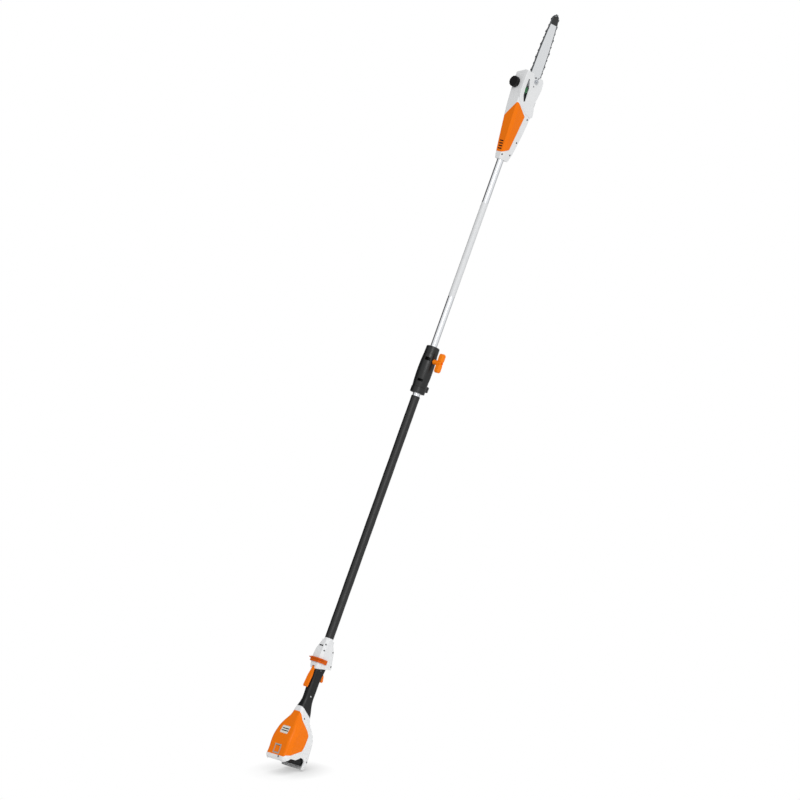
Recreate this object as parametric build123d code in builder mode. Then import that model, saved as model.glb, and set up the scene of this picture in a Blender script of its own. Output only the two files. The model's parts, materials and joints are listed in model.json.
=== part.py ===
"""Telescoping pole saw: battery housing, control grip, two-tube pole, clamp and saw head.

Millimetres. +Z runs along the pole towards the saw, the origin is at the middle of the control grip on the
pole axis, +X is the side of the sprocket cover and -Y is the side of the lockout lever.
"""

import os
from math import asin, atan2, cos, degrees, pi, radians, sin

from build123d import *

os.makedirs("parts", exist_ok=True)

# Fits and walls shared by the whole tool
slip = 0.3  # running gap between pieces that move on each other
snug = 0.05  # gap of a fixed piece in its seat
gap_parting = 0.2  # visible gap round a cover

# Handle body: battery housing below, grip above
base_bottom = -290.0
base_half_width = 55.0
base_front = 62.0
base_rear = 62.0
base_wall = 4.6
rim_height = 18.0
rim_draft = 4.0
side_top = -211.0
shoulder_z = -165.0
shoulder_half_width = 51.0
shoulder_front = 54.0
shoulder_rear = 52.0
waist_z = -134.0
waist_half_width = 38.0
waist_front = 46.0
waist_rear = 33.0
neck_z = -105.0
neck_half_width = 27.0
neck_front = 33.0
neck_rear = 27.0
base_bevel_width = 10.0
base_bevel_depth = 20.0
base_corner = 13.0
grip_bottom = -73.0
grip_half_width = 17.5
grip_front = 21.5
grip_rear = 23.5
grip_top = 100.0
grip_slim_low_z = -46.0  # between these heights the grip is slim, and it widens above and below
grip_slim_high_z = 38.0
grip_wide_z = 60.0
grip_slim_half_width = 15.0
grip_slim_front = 20.0
grip_slim_rear = 19.5
grip_foot_half_width = 19.0
grip_foot_front = 28.0
grip_foot_rear = 23.5
grip_bevel_width = 6.0
grip_bevel_depth = 8.0
grip_corner = 8.0
parting_front_z = -75.0
parting_rear_z = -107.0
parting_front_y = -22.0
parting_rear_y = 27.0
handle_layers = 14

# Front cover of the battery housing, let into the shells
cover_thickness = 2.0
cover_apex_z = -88.0
cover_foot_z = -270.0
vent_centre_z = -172.0
vent_width = 40.0
vent_height = 30.0
vent_lip = 2.0
vent_slats = 3
slat_thickness = 5.0

# Cut-outs in the two side walls of the battery housing
side_cut_front_y = -52.0
side_cut_rear_y = 38.0
side_cut_low_z = -268.5
side_cut_high_z = -251.0

# Battery bay
liner_half_width = 46.0
liner_front = 47.0
liner_rear = 47.0
liner_wall = 2.0
liner_bottom = -278.0
liner_top = -178.0
contact_width = 44.0
contact_depth = 16.0
contact_height = 14.0
blade_count = 5
blade_thickness = 1.0
blade_length = 14.0
blade_pitch = 8.0
ejector_travel = 10.0
ejector_plate_size = 34.0
ejector_plate_thickness = 4.0
ejector_stem = 5.0
ejector_spring_height = 14.0
ejector_spring_radius = 8.0
ejector_spring_wire = 1.2

# Battery latches
latch_width = 22.0
latch_height = 24.0
latch_thickness = 5.0
latch_z = -248.0
latch_rear_z = -224.0
latch_pin_radius = 1.5
latch_pivot_inset = 8.5
latch_block = 4.0  # half height of the pin blocks beside a latch
latch_top_gap = 1.6
latch_hook = 11.0
bezel_border = 5.0
bezel_proud = 0.6

# Controller board
board_width = 50.0
board_depth = 36.0
board_thickness = 2.0
board_post_radius = 3.0
board_part_height = 11.0

# Screws that join the plastic shells
screw_radius = 1.7
screw_head_radius = 3.2
screw_head_height = 2.4
screw_boss_radius = 4.8
screw_reach = 11.0  # thread in the far shell
screw_seat = 6.0  # head seat in the near shell, from the parting plane
screw_slot_width = 1.0
screw_slot_depth = 1.0

boss_holes = screw_radius + snug
head_hole = screw_head_radius + slip

# Places of the screws, as (y, z)
base_screw_places = [(-8.0, -112.0), (base_rear - 9.5, base_bottom + 32), (-(base_front - 9.5), -205.0)]
grip_screw_places = [(2.0, 74.0), (-2.0, -27.0)]
grip_screw_seat = grip_slim_half_width - 3.0

# Control levers in the grip
trigger_pivot = (15.0, 63.0)
trigger_pin_radius = 2.0
trigger_hub_radius = 4.5
trigger_half_width = 7.0
trigger_slot_bottom = 33.0
trigger_slot_top = 70.0
trigger_reach = 39.0
lever_pivot = (-12.0, 77.0)
lever_half_width = 10.0
lever_top_half_width = 5.7
lever_taper_low_z = 42.0
lever_taper_high_z = 70.0
lever_ear_half_width = 5.5
lever_tip_y = -37.5
lever_tip_z = 2.0
lever_top_z = 83.0
lever_slot_bottom = 67.0
lever_slot_top = 87.0
spring_radius = 2.8
spring_width = 1.2
switch_z = 40.0
switch_depth = 16.0
switch_height = 32.0
plunger_radius = 2.5
plunger_length = 12.0
pin_cover = 4.5  # plastic left outside the ends of the pins
pin_boss_inner = 10.8  # inner face of the pin bosses in the grip shells
latch_pivots = {-1: (latch_pivot_inset - base_front, latch_z), 1: (base_rear - latch_pivot_inset, latch_rear_z)}

# Control box
box_bottom_front_z = 74.0
box_bottom_rear_z = 91.0
box_flare_z = 89.0
box_flare_half_width = 24.0
box_flare_front = 31.0
box_flare_rear = 43.0
box_latch_z = 120.0
box_half_width = 25.0
box_front = 33.0
box_rear = 35.0
box_shoulder_z = 150.0
box_top = 189.0
box_wall = 3.0
box_bevel_width = 7.0
box_bevel_depth = 11.0
box_corner = 6.0
box_layers = 9
collar_radius = 16.5
collar_top = 197.0
bulkhead_z = 120.0
bulkhead_thickness = 4.0
box_boss_radius = 4.2
box_screw_seat = 8.0
box_screw_places = [(-19.5, 170.0), (-23.0, 147.0), (21.0, 152.0), (34.0, 101.0)]

# Retaining latch on the control box
latch_band_low = 99.0
latch_band_high = 116.0
band_thickness = 3.2
band_end_y = 4.0
band_travel = 4.0
band_inset = 1.6
lip_reach = 4.5
lip_thickness = 3.5
stem_half_width = 4.5
flange_thickness = 4.0
latch_spring_radius = 1.9

# Pole
lower_tube_radius = 14.0
lower_tube_wall = 1.2
lower_tube_bottom = 107.0
lower_tube_top = 1260.0
foam_radius = 16.5
foam_bottom = 197.5
foam_top = 1143.0
upper_tube_radius = 12.5
upper_tube_wall = 1.3
upper_tube_bottom = 112.0
upper_tube_top = 2130.0
plug_length = 20.0
plug_flange = 4.0
lead_radius = 5.5
lead_bottom = 104.0
lead_top = 2146.0
label_bottom = 1533.0
label_top = 1901.0
label_thickness = 0.25

# Clamp that locks the telescope
clamp_bottom = 1155.0
clamp_top = 1336.0
clamp_ring_radius = 28.0
clamp_ring_height = 21.0
clamp_waist_radius = 26.5
clamp_belly_radius = 29.0
clamp_belly_z = 1232.0
clamp_cap_radius = 26.0
clamp_cap_bottom = 1306.0
clamp_groove = 1.2
clamp_edge = 5.0
collar_bottom = 1316.0
collar_height = 12.0
collar_wall = 3.2
clamp_screw_y = 20.5
clamp_screw_heights = [1203.0, 1286.0]
clamp_screw_seat = 5.0
clamp_screw_reach = 9.0
clamp_pocket_half_heights = [5.0, 6.5]
clamp_lug_z = 1180.0
clamp_lug_height = 22.0
clamp_lug_reach = 45.0

# Wing knob on its stud
knob_z = 1282.0
stud_radius = 4.0
nut_across_flats = 13.0
nut_thickness = 6.5
nut_start = 20.0
pad_half_width = 8.5
pad_half_height = 14.0
knob_hub_radius = 11.0
knob_hub_end = 52.0
knob_wing_end = 70.0
knob_wing_span = 73.0
knob_lobe_radius = 9.5
knob_lobe_length = 34.0
knob_recess_radius = 5.5
knob_recess_depth = 5.0

# Saw head casing
head_bottom = 2072.0
head_socket_z = 2140.0
head_belly_z = 2217.0
head_top = 2424.0
head_left = 33.0
head_right = 29.0
head_front = 48.0
head_rear = 45.0
head_neck_half_width = 16.0
head_neck_front = 20.5
head_neck_rear = 23.0
head_wall = 4.4
head_bevel_width = 5.0
head_bevel_depth = 12.0
head_corner = 4.0
head_layers = 10
head_top_left_z = 2396.0
head_top_right_z = 2414.0
near_face = 15.0  # plane that the sprocket cover sits on
near_wall = 2.6
near_face_bottom = 2250.0
shoulder_front_z = 2308.0  # above these heights the near side ends at the sprocket cover's plane
shoulder_rear_z = 2317.0
shoulder_width = 16.0
head_boss_radius = 4.4
head_screw_seat = 9.0
head_screw_places = [(19.5, 2098.0), (-17.0, 2090.0), (27.0, 2150.0), (34.0, 2244.0)]

# Drive train, on two parallel axes
drive_y = 2.0
motor_z = 2286.0
gear_module = 1.5
pinion_teeth = 12
gear_teeth = 40
gear_width = 6.0
gear_start = 2.2
motor_radius = 26.5
motor_start = -23.0
motor_end = -2.5
motor_wall = 1.6
rotor_radius = 19.0
rotor_shaft_radius = 2.5
plate_thickness = 2.0
plate_face = -0.2
plate_bottom = 2225.0
plate_top_z = 2352.0
shaft_radius = 4.0
bearing_inner_radius = 8.0
bearing_outer_radius = 9.5
bearing_inner_width = 4.0
bearing_outer_width = 6.0
bearing_wall = 3.2
sprocket_radius = 16.0
sprocket_teeth = 7
sprocket_width = 4.8

# Guide bar and chain
bar_plane = 21.0  # mid-plane of the bar
bar_thickness = 4.0
bar_tail_z = 2346.0
bar_root_z = 2376.0
bar_root_radius = 26.5
bar_middle_z = 2500.0
bar_middle_radius = 24.3
bar_taper_z = 2570.0
bar_taper_radius = 19.5
bar_nose_z = 2627.0
bar_nose_radius = 13.5
chain_gap = 0.3
chain_depth = 4.2
cutter_height = 2.6
cutter_length = 9.0
cutter_pitch = 27.0
chain_width = 5.6
stud_place = (8.0, 2386.0)
bar_stud_radius = 4.0
bar_slot_length = 26.0
tension_place = (6.0, 2366.0)
tension_radius = 2.2
cover_nut_flats = 15.0
cover_nut_thickness = 6.0

# Sprocket cover
sprocket_cover_face = 29.0
sprocket_cover_plate = 2.5
sprocket_cover_room = 3.0

# Oil tank and cap
tank_left = -24.5
tank_right = -2.5
tank_front = -33.0
tank_rear = 30.0
tank_bottom = 2318.0
tank_top = 2384.0
tank_wall = 1.6
cap_place = (-13.0, 2359.0)  # x and z of the filler
cap_radius = 20.5
cap_height = 14.0
neck_radius = 11.0
neck_wall = 2.0
seal_thickness = 1.6
cap_flutes = 14

# Head front cover
head_cover_thickness = 2.0
head_vent_slots = 4
head_vent_low = 2104.0
head_vent_high = 2143.0
head_vent_width = 20.0
grille_thickness = 1.6


def export(builder, name):
    """Label a finished piece and write its STEP file."""
    builder.part.label = name
    export_step(builder.part, f"parts/{name}.step")


def six_sided(half_width, front, rear, bevel_width, bevel_depth, corner, grow):
    """Sketch with square rear corners, bevelled front corners and every corner rounded."""
    half_width += grow
    front += grow
    rear += grow
    with BuildSketch(mode=Mode.PRIVATE) as outline:
        with BuildLine():
            Polyline(
                (-half_width, rear),
                (half_width, rear),
                (half_width, bevel_depth - front),
                (half_width - bevel_width, -front),
                (bevel_width - half_width, -front),
                (-half_width, bevel_depth - front),
                close=True,
            )
        make_face()
        fillet(outline.vertices(), corner)
    return outline.sketch


def handle_stations():
    """Height, half width, front, rear, bevel and corner of each section of the handle body, bottom up."""
    base_bevel = (base_bevel_width, base_bevel_depth, base_corner)
    neck_bevel = (0.75 * base_bevel_width, 0.6 * base_bevel_depth, 0.8 * base_corner)
    grip_bevel = (grip_bevel_width, grip_bevel_depth, grip_corner)
    slim = (grip_slim_half_width, grip_slim_front, grip_slim_rear, *grip_bevel)
    wide = (grip_half_width, grip_front, grip_rear, *grip_bevel)
    rim_half_width = base_half_width - rim_draft
    return [
        (base_bottom, rim_half_width, base_front - 2 * rim_draft, base_rear - rim_draft / 2, *base_bevel),
        (base_bottom + rim_height, base_half_width, base_front, base_rear, *base_bevel),
        (side_top, base_half_width, base_front, base_rear - rim_draft, *base_bevel),
        (shoulder_z, shoulder_half_width, shoulder_front, shoulder_rear, *base_bevel),
        (waist_z, waist_half_width, waist_front, waist_rear, *base_bevel),
        (neck_z, neck_half_width, neck_front, neck_rear, *neck_bevel),
        (grip_bottom, grip_foot_half_width, grip_foot_front, grip_foot_rear, *grip_bevel),
        (grip_slim_low_z, *slim),
        (grip_slim_high_z, *slim),
        (grip_wide_z, *wide),
        (grip_top, *wide),
    ]


def steady_curve(heights, sizes, z):
    """Size at height z on a smooth curve through the stations that never overshoots them."""
    spans = [above - below for below, above in zip(heights, heights[1:])]
    rises = [(above - below) / span for below, above, span in zip(sizes, sizes[1:], spans)]
    slopes = [rises[0]]
    for before, after in zip(rises, rises[1:]):
        slopes.append(2 * before * after / (before + after) if before * after > 0 else 0.0)
    slopes.append(rises[-1])
    index = max(i for i in range(len(spans)) if heights[i] <= z or i == 0)
    span = spans[index]
    share = (z - heights[index]) / span
    blend = share * share * (3 - 2 * share)
    ease_in = share * (1 - share) ** 2 * span * slopes[index]
    ease_out = share * share * (share - 1) * span * slopes[index + 1]
    return sizes[index] * (1 - blend) + sizes[index + 1] * blend + ease_in + ease_out


def smooth_form(stations, layer_count, profile, grow, overrun):
    """Loft through evenly spaced sections of a form whose sizes follow steady curves."""
    heights = [station[0] for station in stations]
    columns = list(zip(*stations))[1:]
    step = (heights[-1] - heights[0]) / layer_count
    with BuildPart() as form:
        for layer in range(layer_count + 1):
            z = heights[0] + layer * step
            sizes = [steady_curve(heights, column, z) for column in columns]
            if layer == 0:
                z -= overrun
            if layer == layer_count:
                z += overrun
            with BuildSketch(Plane.XY.offset(z)):
                add(profile(*sizes, grow))
        loft()
    return form.part


def handle_form(grow, overrun=0.0):
    """The handle body's outer form, grown or shrunk all round, and run past both ends."""
    return smooth_form(handle_stations(), handle_layers, six_sided, grow, overrun)


def prism_along_x(points, corner, half_length):
    """Solid with a rounded outline in the YZ plane, as long on either side of the parting plane."""
    with BuildPart() as prism:
        with BuildSketch(Plane.YZ) as outline:
            with BuildLine():
                Polyline(*points, close=True)
            make_face()
            if corner:
                fillet(outline.vertices(), corner)
        extrude(amount=half_length, both=True)
    return prism.part


def prism_along_y(points, corner, front, rear):
    """Solid with a rounded outline in the XZ plane, from y = front to y = rear."""
    with BuildPart() as prism:
        with BuildSketch(Plane.XZ.offset(-rear)) as outline:
            with BuildLine():
                Polyline(*points, close=True)
            make_face()
            if corner:
                fillet(outline.vertices(), corner)
        extrude(amount=rear - front)
    return prism.part


def box_between(low, high):
    """Block from its lowest to its highest corner."""
    with BuildPart() as block:
        with Locations([tuple((a + b) / 2 for a, b in zip(low, high))]):
            Box(*[b - a for a, b in zip(low, high)])
    return block.part


def rod_along_x(places, radius, start, end):
    """Rods that run along X from start to end, one at each (y, z) place."""
    with BuildPart() as rods:
        with BuildSketch(Plane.YZ.offset(start)):
            with Locations(*places):
                Circle(radius)
        extrude(amount=end - start)
    return rods.part


def tube_along_x(place, outer, inner, start, end):
    """One tube along X at a (y, z) place."""
    with BuildPart() as tube:
        with BuildSketch(Plane.YZ.offset(start)):
            with Locations(place):
                Circle(outer)
                Circle(inner, mode=Mode.SUBTRACT)
        extrude(amount=end - start)
    return tube.part


def shell_screws(places, seat, reach):
    """Slotted pan-head screws along X that join a right shell to a left one."""
    head_top = seat + screw_head_height
    with BuildPart() as screws:
        add(rod_along_x(places, screw_radius, -reach, seat))
        add(rod_along_x(places, screw_head_radius, seat, head_top))
        with Locations(*[(head_top, y, z) for y, z in places]):
            Box(2 * screw_slot_depth, screw_slot_width, 3 * screw_head_radius, mode=Mode.SUBTRACT)
    return screws


def half_shell(body, side):
    """The right (side 1) or left (side -1) half of a body that parts at x = 0."""
    with BuildPart() as half:
        add(body)
        split(bisect_by=Plane.YZ, keep=Keep.TOP if side > 0 else Keep.BOTTOM)
    return half


# Handle body forms
handle_outer = handle_form(0)
handle_inner = handle_form(-base_wall, overrun=base_wall)
handle_core = handle_form(-base_wall - snug)
cover_floor = handle_form(-cover_thickness - snug)
cover_back = handle_form(-cover_thickness)
handle_reach = base_half_width + base_wall
parting_slope = (parting_front_z - parting_rear_z) / (parting_rear_y - parting_front_y)
parting_plane = Plane(origin=(0, parting_front_y, parting_front_z), x_dir=(1, 0, 0), z_dir=(0, parting_slope, 1))


def cover_outline(grow):
    """YZ outline of the orange front cover, as a prism across the whole housing."""
    far = -base_front - 20
    points = [
        (far, cover_apex_z + grow),
        (-33 + grow, cover_apex_z - 1 + grow),
        (-25 + grow, cover_apex_z - 13 + grow),
        (-19 + grow, -120 + grow),
        (9 + grow, -150),
        (19 + grow, -166),
        (14 + grow, -208),
        (10 + grow, -227 - grow),
        (-38, -257 - grow),
        (-57, cover_foot_z + 6 - grow),
        (-61, cover_foot_z - grow),
        (far, cover_foot_z - grow),
    ]
    return prism_along_x(points, 0, handle_reach)


def side_cut():
    """Cut-out in both side walls that shows the battery and lets fingers reach it."""
    middle_y = (side_cut_front_y + side_cut_rear_y) / 2
    low = base_bottom - rim_height
    points = [
        (side_cut_front_y, low),
        (side_cut_front_y, base_bottom + 2),
        (side_cut_front_y + 20, side_cut_low_z),
        (middle_y, side_cut_low_z + 2),
        (middle_y + 14, side_cut_high_z - 6),
        (middle_y + 22, side_cut_high_z),
        (side_cut_rear_y - 9, side_cut_high_z),
        (side_cut_rear_y, side_cut_high_z - 10),
        (side_cut_rear_y - 1, low),
    ]
    return prism_along_x(points, 4, handle_reach)


def latch_window(side, pivot, grow):
    """Window through the housing wall for a battery latch: side -1 is the front wall, 1 the rear wall."""
    half_width = latch_width / 2 + slip + grow
    low = pivot[1] - latch_height / 2 - slip - grow
    high = pivot[1] + latch_height / 2 + latch_top_gap + grow
    near, far = sorted((side * (abs(pivot[0]) - latch_block), side * (base_front + handle_reach)))
    return box_between((-half_width, near, low), (half_width, far, high))


def vent_opening(grow):
    """Rectangular vent opening in the front wall."""
    half_width = vent_width / 2 + grow
    half_height = vent_height / 2 + grow
    points = [
        (-half_width, vent_centre_z - half_height),
        (half_width, vent_centre_z - half_height),
        (half_width, vent_centre_z + half_height),
        (-half_width, vent_centre_z + half_height),
    ]
    return prism_along_y(points, 3, -base_front - 20, -30)


# Handle body, hollow, with its bosses and openings
with BuildPart() as boss_bars:
    add(rod_along_x(base_screw_places + grip_screw_places, screw_boss_radius, -handle_reach, handle_reach))
    add(rod_along_x([trigger_pivot, lever_pivot], trigger_hub_radius, pin_boss_inner, handle_reach))
    add(rod_along_x([trigger_pivot, lever_pivot], trigger_hub_radius, -handle_reach, -pin_boss_inner))
    for side, (pivot_y, pivot_z) in latch_pivots.items():
        block_start = latch_width / 2 + slip
        for hand in (-1, 1):
            block_depth = latch_pivot_inset + latch_block
            block_y = pivot_y + side * (block_depth / 2 - latch_block)
            with Locations((hand * (block_start + latch_block), block_y, pivot_z)):
                Box(2 * latch_block, block_depth, 2 * latch_block)
    add(handle_outer, mode=Mode.INTERSECT)

trigger_gap = trigger_half_width + slip
trigger_slot = box_between(
    (-trigger_gap, grip_rear / 2, trigger_slot_bottom), (trigger_gap, 2 * grip_rear, trigger_slot_top)
)
ear_gap = lever_ear_half_width + slip
lever_slot = box_between((-ear_gap, -2 * grip_front, lever_slot_bottom), (ear_gap, lever_pivot[0], lever_slot_top))
pin_end = grip_half_width - pin_cover
lever_pivots = [trigger_pivot, lever_pivot]
spring_room = trigger_half_width + spring_width + 2 * slip

with BuildPart() as cover_rebate:
    add(cover_outline(gap_parting))
    add(cover_floor, mode=Mode.SUBTRACT)

handle_cuts = [
    cover_rebate.part,
    side_cut(),
    vent_opening(-vent_lip),
    trigger_slot,
    lever_slot,
    rod_along_x(base_screw_places, boss_holes, -screw_reach - 1, screw_seat),
    rod_along_x(base_screw_places, head_hole, screw_seat, handle_reach),
    rod_along_x(grip_screw_places, boss_holes, -screw_reach - 1, grip_screw_seat),
    rod_along_x(grip_screw_places, head_hole, grip_screw_seat, handle_reach),
    rod_along_x(lever_pivots, trigger_pin_radius + snug, -pin_end, pin_end),
    rod_along_x([trigger_pivot], spring_radius + slip, -spring_room, spring_room),
]
for side, pivot in latch_pivots.items():
    handle_cuts.append(latch_window(side, pivot, 0))
    handle_cuts.append(rod_along_x([pivot], latch_pin_radius + snug, -latch_width, latch_width))

with BuildPart() as handle_body:
    add(handle_outer)
    add(handle_inner, mode=Mode.SUBTRACT)
    add(boss_bars.part)
    add(handle_cuts, mode=Mode.SUBTRACT)

with BuildPart() as base_body:
    add(handle_body.part)
    split(bisect_by=parting_plane, keep=Keep.BOTTOM)

with BuildPart() as grip_body:
    add(handle_body.part)
    split(bisect_by=parting_plane, keep=Keep.TOP)

for side, hand in ((1, "right"), (-1, "left")):
    export(half_shell(base_body.part, side), f"base_shell_{hand}")
    export(half_shell(grip_body.part, side), f"grip_shell_{hand}")

base_screws = shell_screws(base_screw_places, screw_seat, screw_reach)
grip_screws = shell_screws(grip_screw_places, grip_screw_seat, screw_reach)


def skin_piece(outside, outline, cuts):
    """Piece of even thickness that follows the handle's surface inside an outline."""
    with BuildPart() as piece:
        add(outside)
        add(outline, mode=Mode.INTERSECT)
        add([cover_back, *cuts], mode=Mode.SUBTRACT)
    return piece


# Front cover with its vent grille and the frame of the front latch
front_pivot = latch_pivots[-1]
bezel_outer = latch_window(-1, front_pivot, bezel_border)
base_cover = skin_piece(
    handle_outer,
    cover_outline(0),
    [vent_opening(0), latch_window(-1, front_pivot, bezel_border + gap_parting)],
)
export(base_cover, "base_cover")

vent_gap = (vent_height - vent_slats * slat_thickness) / (vent_slats + 1)
vent_slots = []
for slot in range(vent_slats + 1):
    slot_low = vent_centre_z - vent_height / 2 + slot * (slat_thickness + vent_gap)
    if 0 < slot < vent_slats:
        half_slot = vent_width / 2 - vent_lip
        vent_slots.append(
            box_between((-half_slot, -2 * base_front, slot_low), (half_slot, 0, slot_low + vent_gap))
        )
base_vent_grille = skin_piece(handle_form(-slip), vent_opening(-gap_parting), vent_slots)
export(base_vent_grille, "base_vent_grille")

latch_bezel = skin_piece(handle_form(bezel_proud), bezel_outer, [latch_window(-1, front_pivot, 0)])
export(latch_bezel, "latch_bezel")

# Battery bay liner with its ceiling flange, contact block and blades
ceiling = liner_top - liner_wall
ejector_y = -14.0
contact_y = 24.0
liner_bevel = (base_bevel_width + 2, base_bevel_depth + 2, base_corner - 3)
board_z = liner_top + ejector_travel + 8
board_posts = [(sx * (board_width / 2 - 5), sy * (board_depth / 2 - 5)) for sx in (-1, 1) for sy in (-1, 1)]
with BuildPart() as liner_flange:
    add(handle_core)
    flange_low = (-handle_reach, -handle_reach, ceiling)
    add(box_between(flange_low, (handle_reach, handle_reach, liner_top)), mode=Mode.INTERSECT)

liner_section = (liner_half_width, liner_front, liner_rear, *liner_bevel)
with BuildPart() as battery_bay_liner:
    with BuildSketch(Plane.XY.offset(liner_bottom)):
        add(six_sided(*liner_section, 0))
        add(six_sided(*liner_section, -liner_wall), mode=Mode.SUBTRACT)
    extrude(amount=ceiling - liner_bottom)
    add(liner_flange.part)
    with BuildSketch(Plane.XY.offset(liner_top)):
        with Locations(*board_posts):
            Circle(board_post_radius)
    extrude(amount=board_z - liner_top)
    with Locations((0, ejector_y, 0)):
        Cylinder(ejector_stem + slip, 4 * abs(liner_top), mode=Mode.SUBTRACT)
    for side, pivot in latch_pivots.items():
        hook_z = pivot[1] - latch_height / 2
        near, far = sorted((side * (liner_rear - 3 * liner_wall), side * handle_reach))
        hook_window = box_between(
            (-latch_hook, near, hook_z - latch_block), (latch_hook, far, hook_z + 2 * latch_block)
        )
        add(hook_window, mode=Mode.SUBTRACT)
export(battery_bay_liner, "battery_bay_liner")

with BuildPart() as contact_block:
    with Locations((0, contact_y, ceiling - contact_height / 2)):
        Box(contact_width, contact_depth, contact_height)
    fillet(contact_block.edges().filter_by(Axis.Z), 2)
    chamfer(contact_block.faces().sort_by(Axis.Z)[0].edges(), 1)
export(contact_block, "contact_block")

with BuildPart() as contact_blades:
    with Locations((0, contact_y, ceiling - contact_height - blade_length / 2)):
        with GridLocations(blade_pitch, 1, blade_count, 1):
            Box(blade_thickness, contact_depth / 2, blade_length)
export(contact_blades, "contact_blades")

# Ejector that pushes the battery out: plate on a stem with a stop head, and its coil spring
plate_top = ceiling - ejector_spring_height
stop_height = 3.0
with BuildPart() as ejector_plate:
    with Locations((0, ejector_y, plate_top - ejector_plate_thickness / 2)):
        Box(ejector_plate_size, ejector_plate_size, ejector_plate_thickness)
    fillet(ejector_plate.edges().filter_by(Axis.Z), 5)
    with BuildSketch(Plane.XY.offset(plate_top)):
        with Locations((0, ejector_y)):
            Circle(ejector_stem)
    extrude(amount=liner_top - plate_top)
    with BuildSketch(Plane.XY.offset(liner_top)):
        with Locations((0, ejector_y)):
            Circle(ejector_stem + 3)
    extrude(amount=stop_height)
export(ejector_plate, "ejector_plate")

with BuildPart() as ejector_spring:
    with BuildSketch(Plane.XY.offset(plate_top)):
        with Locations((0, ejector_y)):
            Circle(ejector_spring_radius)
            Circle(ejector_spring_radius - ejector_spring_wire, mode=Mode.SUBTRACT)
    extrude(amount=ejector_spring_height)
export(ejector_spring, "ejector_spring")

# Controller board on its posts
with BuildPart() as controller_board:
    with Locations((0, 0, board_z + board_thickness / 2)):
        Box(board_width, board_depth, board_thickness)
    with BuildSketch(Plane.XY.offset(board_z + board_thickness)):
        with Locations((-board_width / 5, 0)):
            Rectangle(board_width / 4, board_depth / 2)
        with GridLocations(0, board_depth / 3, 1, 2):
            with Locations((board_width / 5, 0)):
                Circle(board_depth / 9)
    extrude(amount=board_part_height)
export(controller_board, "controller_board")


# Battery latches: a button, an ear on the pin and a hook into the bay
latch_pin_half = latch_width / 2 + slip + 2 * latch_block - 1
latch_face = latch_pivot_inset + 2 * bezel_proud
for side, name in ((-1, "front"), (1, "rear")):
    pivot_y, pivot_z = latch_pivots[side]
    half_height = latch_height / 2
    with BuildPart() as battery_latch:
        with BuildSketch(Plane.YZ) as plate_outline:
            with Locations((pivot_y + side * (latch_face + 2) / 2, pivot_z)):
                Rectangle(latch_face - 2, latch_height)
            fillet(plate_outline.vertices(), 1.5)
        extrude(amount=latch_width / 2, both=True)
        with BuildSketch(Plane.YZ):
            with Locations((pivot_y, pivot_z)):
                Circle(latch_block)
            with Locations((pivot_y + side * 2, pivot_z)):
                Rectangle(4, 2 * latch_block)
        extrude(amount=latch_width / 2, both=True)
        hook_end = side * (liner_rear - 2 * liner_wall)
        hook_low = pivot_z - half_height
        near, far = sorted((hook_end, pivot_y + side * 4))
        add(box_between((-latch_hook / 2, near, hook_low), (latch_hook / 2, far, hook_low + latch_block)))
        add(
            rod_along_x([(pivot_y, pivot_z)], latch_pin_radius + snug, -latch_width, latch_width),
            mode=Mode.SUBTRACT,
        )
    export(battery_latch, f"battery_latch_{name}")

with BuildPart() as latch_pins:
    add(rod_along_x(list(latch_pivots.values()), latch_pin_radius, -latch_pin_half, latch_pin_half))
export(latch_pins, "latch_pins")

# Trigger on the rear of the grip
with BuildPart() as trigger:
    with BuildSketch(Plane.YZ) as trigger_outline:
        with BuildLine():
            Polyline(
                (trigger_pivot[0] - 2, trigger_pivot[1] + 3),
                (grip_rear + 3.5, trigger_slot_top - 3),
                (trigger_reach - 5, trigger_slot_bottom + 26),
                (trigger_reach, trigger_slot_bottom + 7),
                (trigger_reach - 4, trigger_slot_bottom + 2),
                (trigger_reach - 9, trigger_slot_bottom + 4),
                (grip_rear + 0.5, trigger_slot_bottom + 17),
                (trigger_pivot[0] - 2, trigger_pivot[1] - 4),
                close=True,
            )
        make_face()
        fillet(trigger_outline.vertices(), 1.5)
    extrude(amount=trigger_half_width, both=True)
    fillet(trigger.faces().filter_by(Axis.X).edges(), 1)
    add(rod_along_x([trigger_pivot], trigger_hub_radius, -trigger_half_width, trigger_half_width))
    add(
        rod_along_x([trigger_pivot], trigger_pin_radius + snug, -2 * trigger_half_width, 2 * trigger_half_width),
        mode=Mode.SUBTRACT,
    )
export(trigger, "trigger")

with BuildPart() as lever_pins:
    add(rod_along_x(lever_pivots, trigger_pin_radius, -pin_end, pin_end))
export(lever_pins, "lever_pins")

with BuildPart() as lever_springs:
    spring_bore = trigger_pin_radius + slip
    for pivot, half_width in ((trigger_pivot, trigger_half_width), (lever_pivot, lever_ear_half_width)):
        spring_start = half_width + slip
        add(tube_along_x(pivot, spring_radius, spring_bore, spring_start, spring_start + spring_width))
export(lever_springs, "lever_springs")

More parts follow.
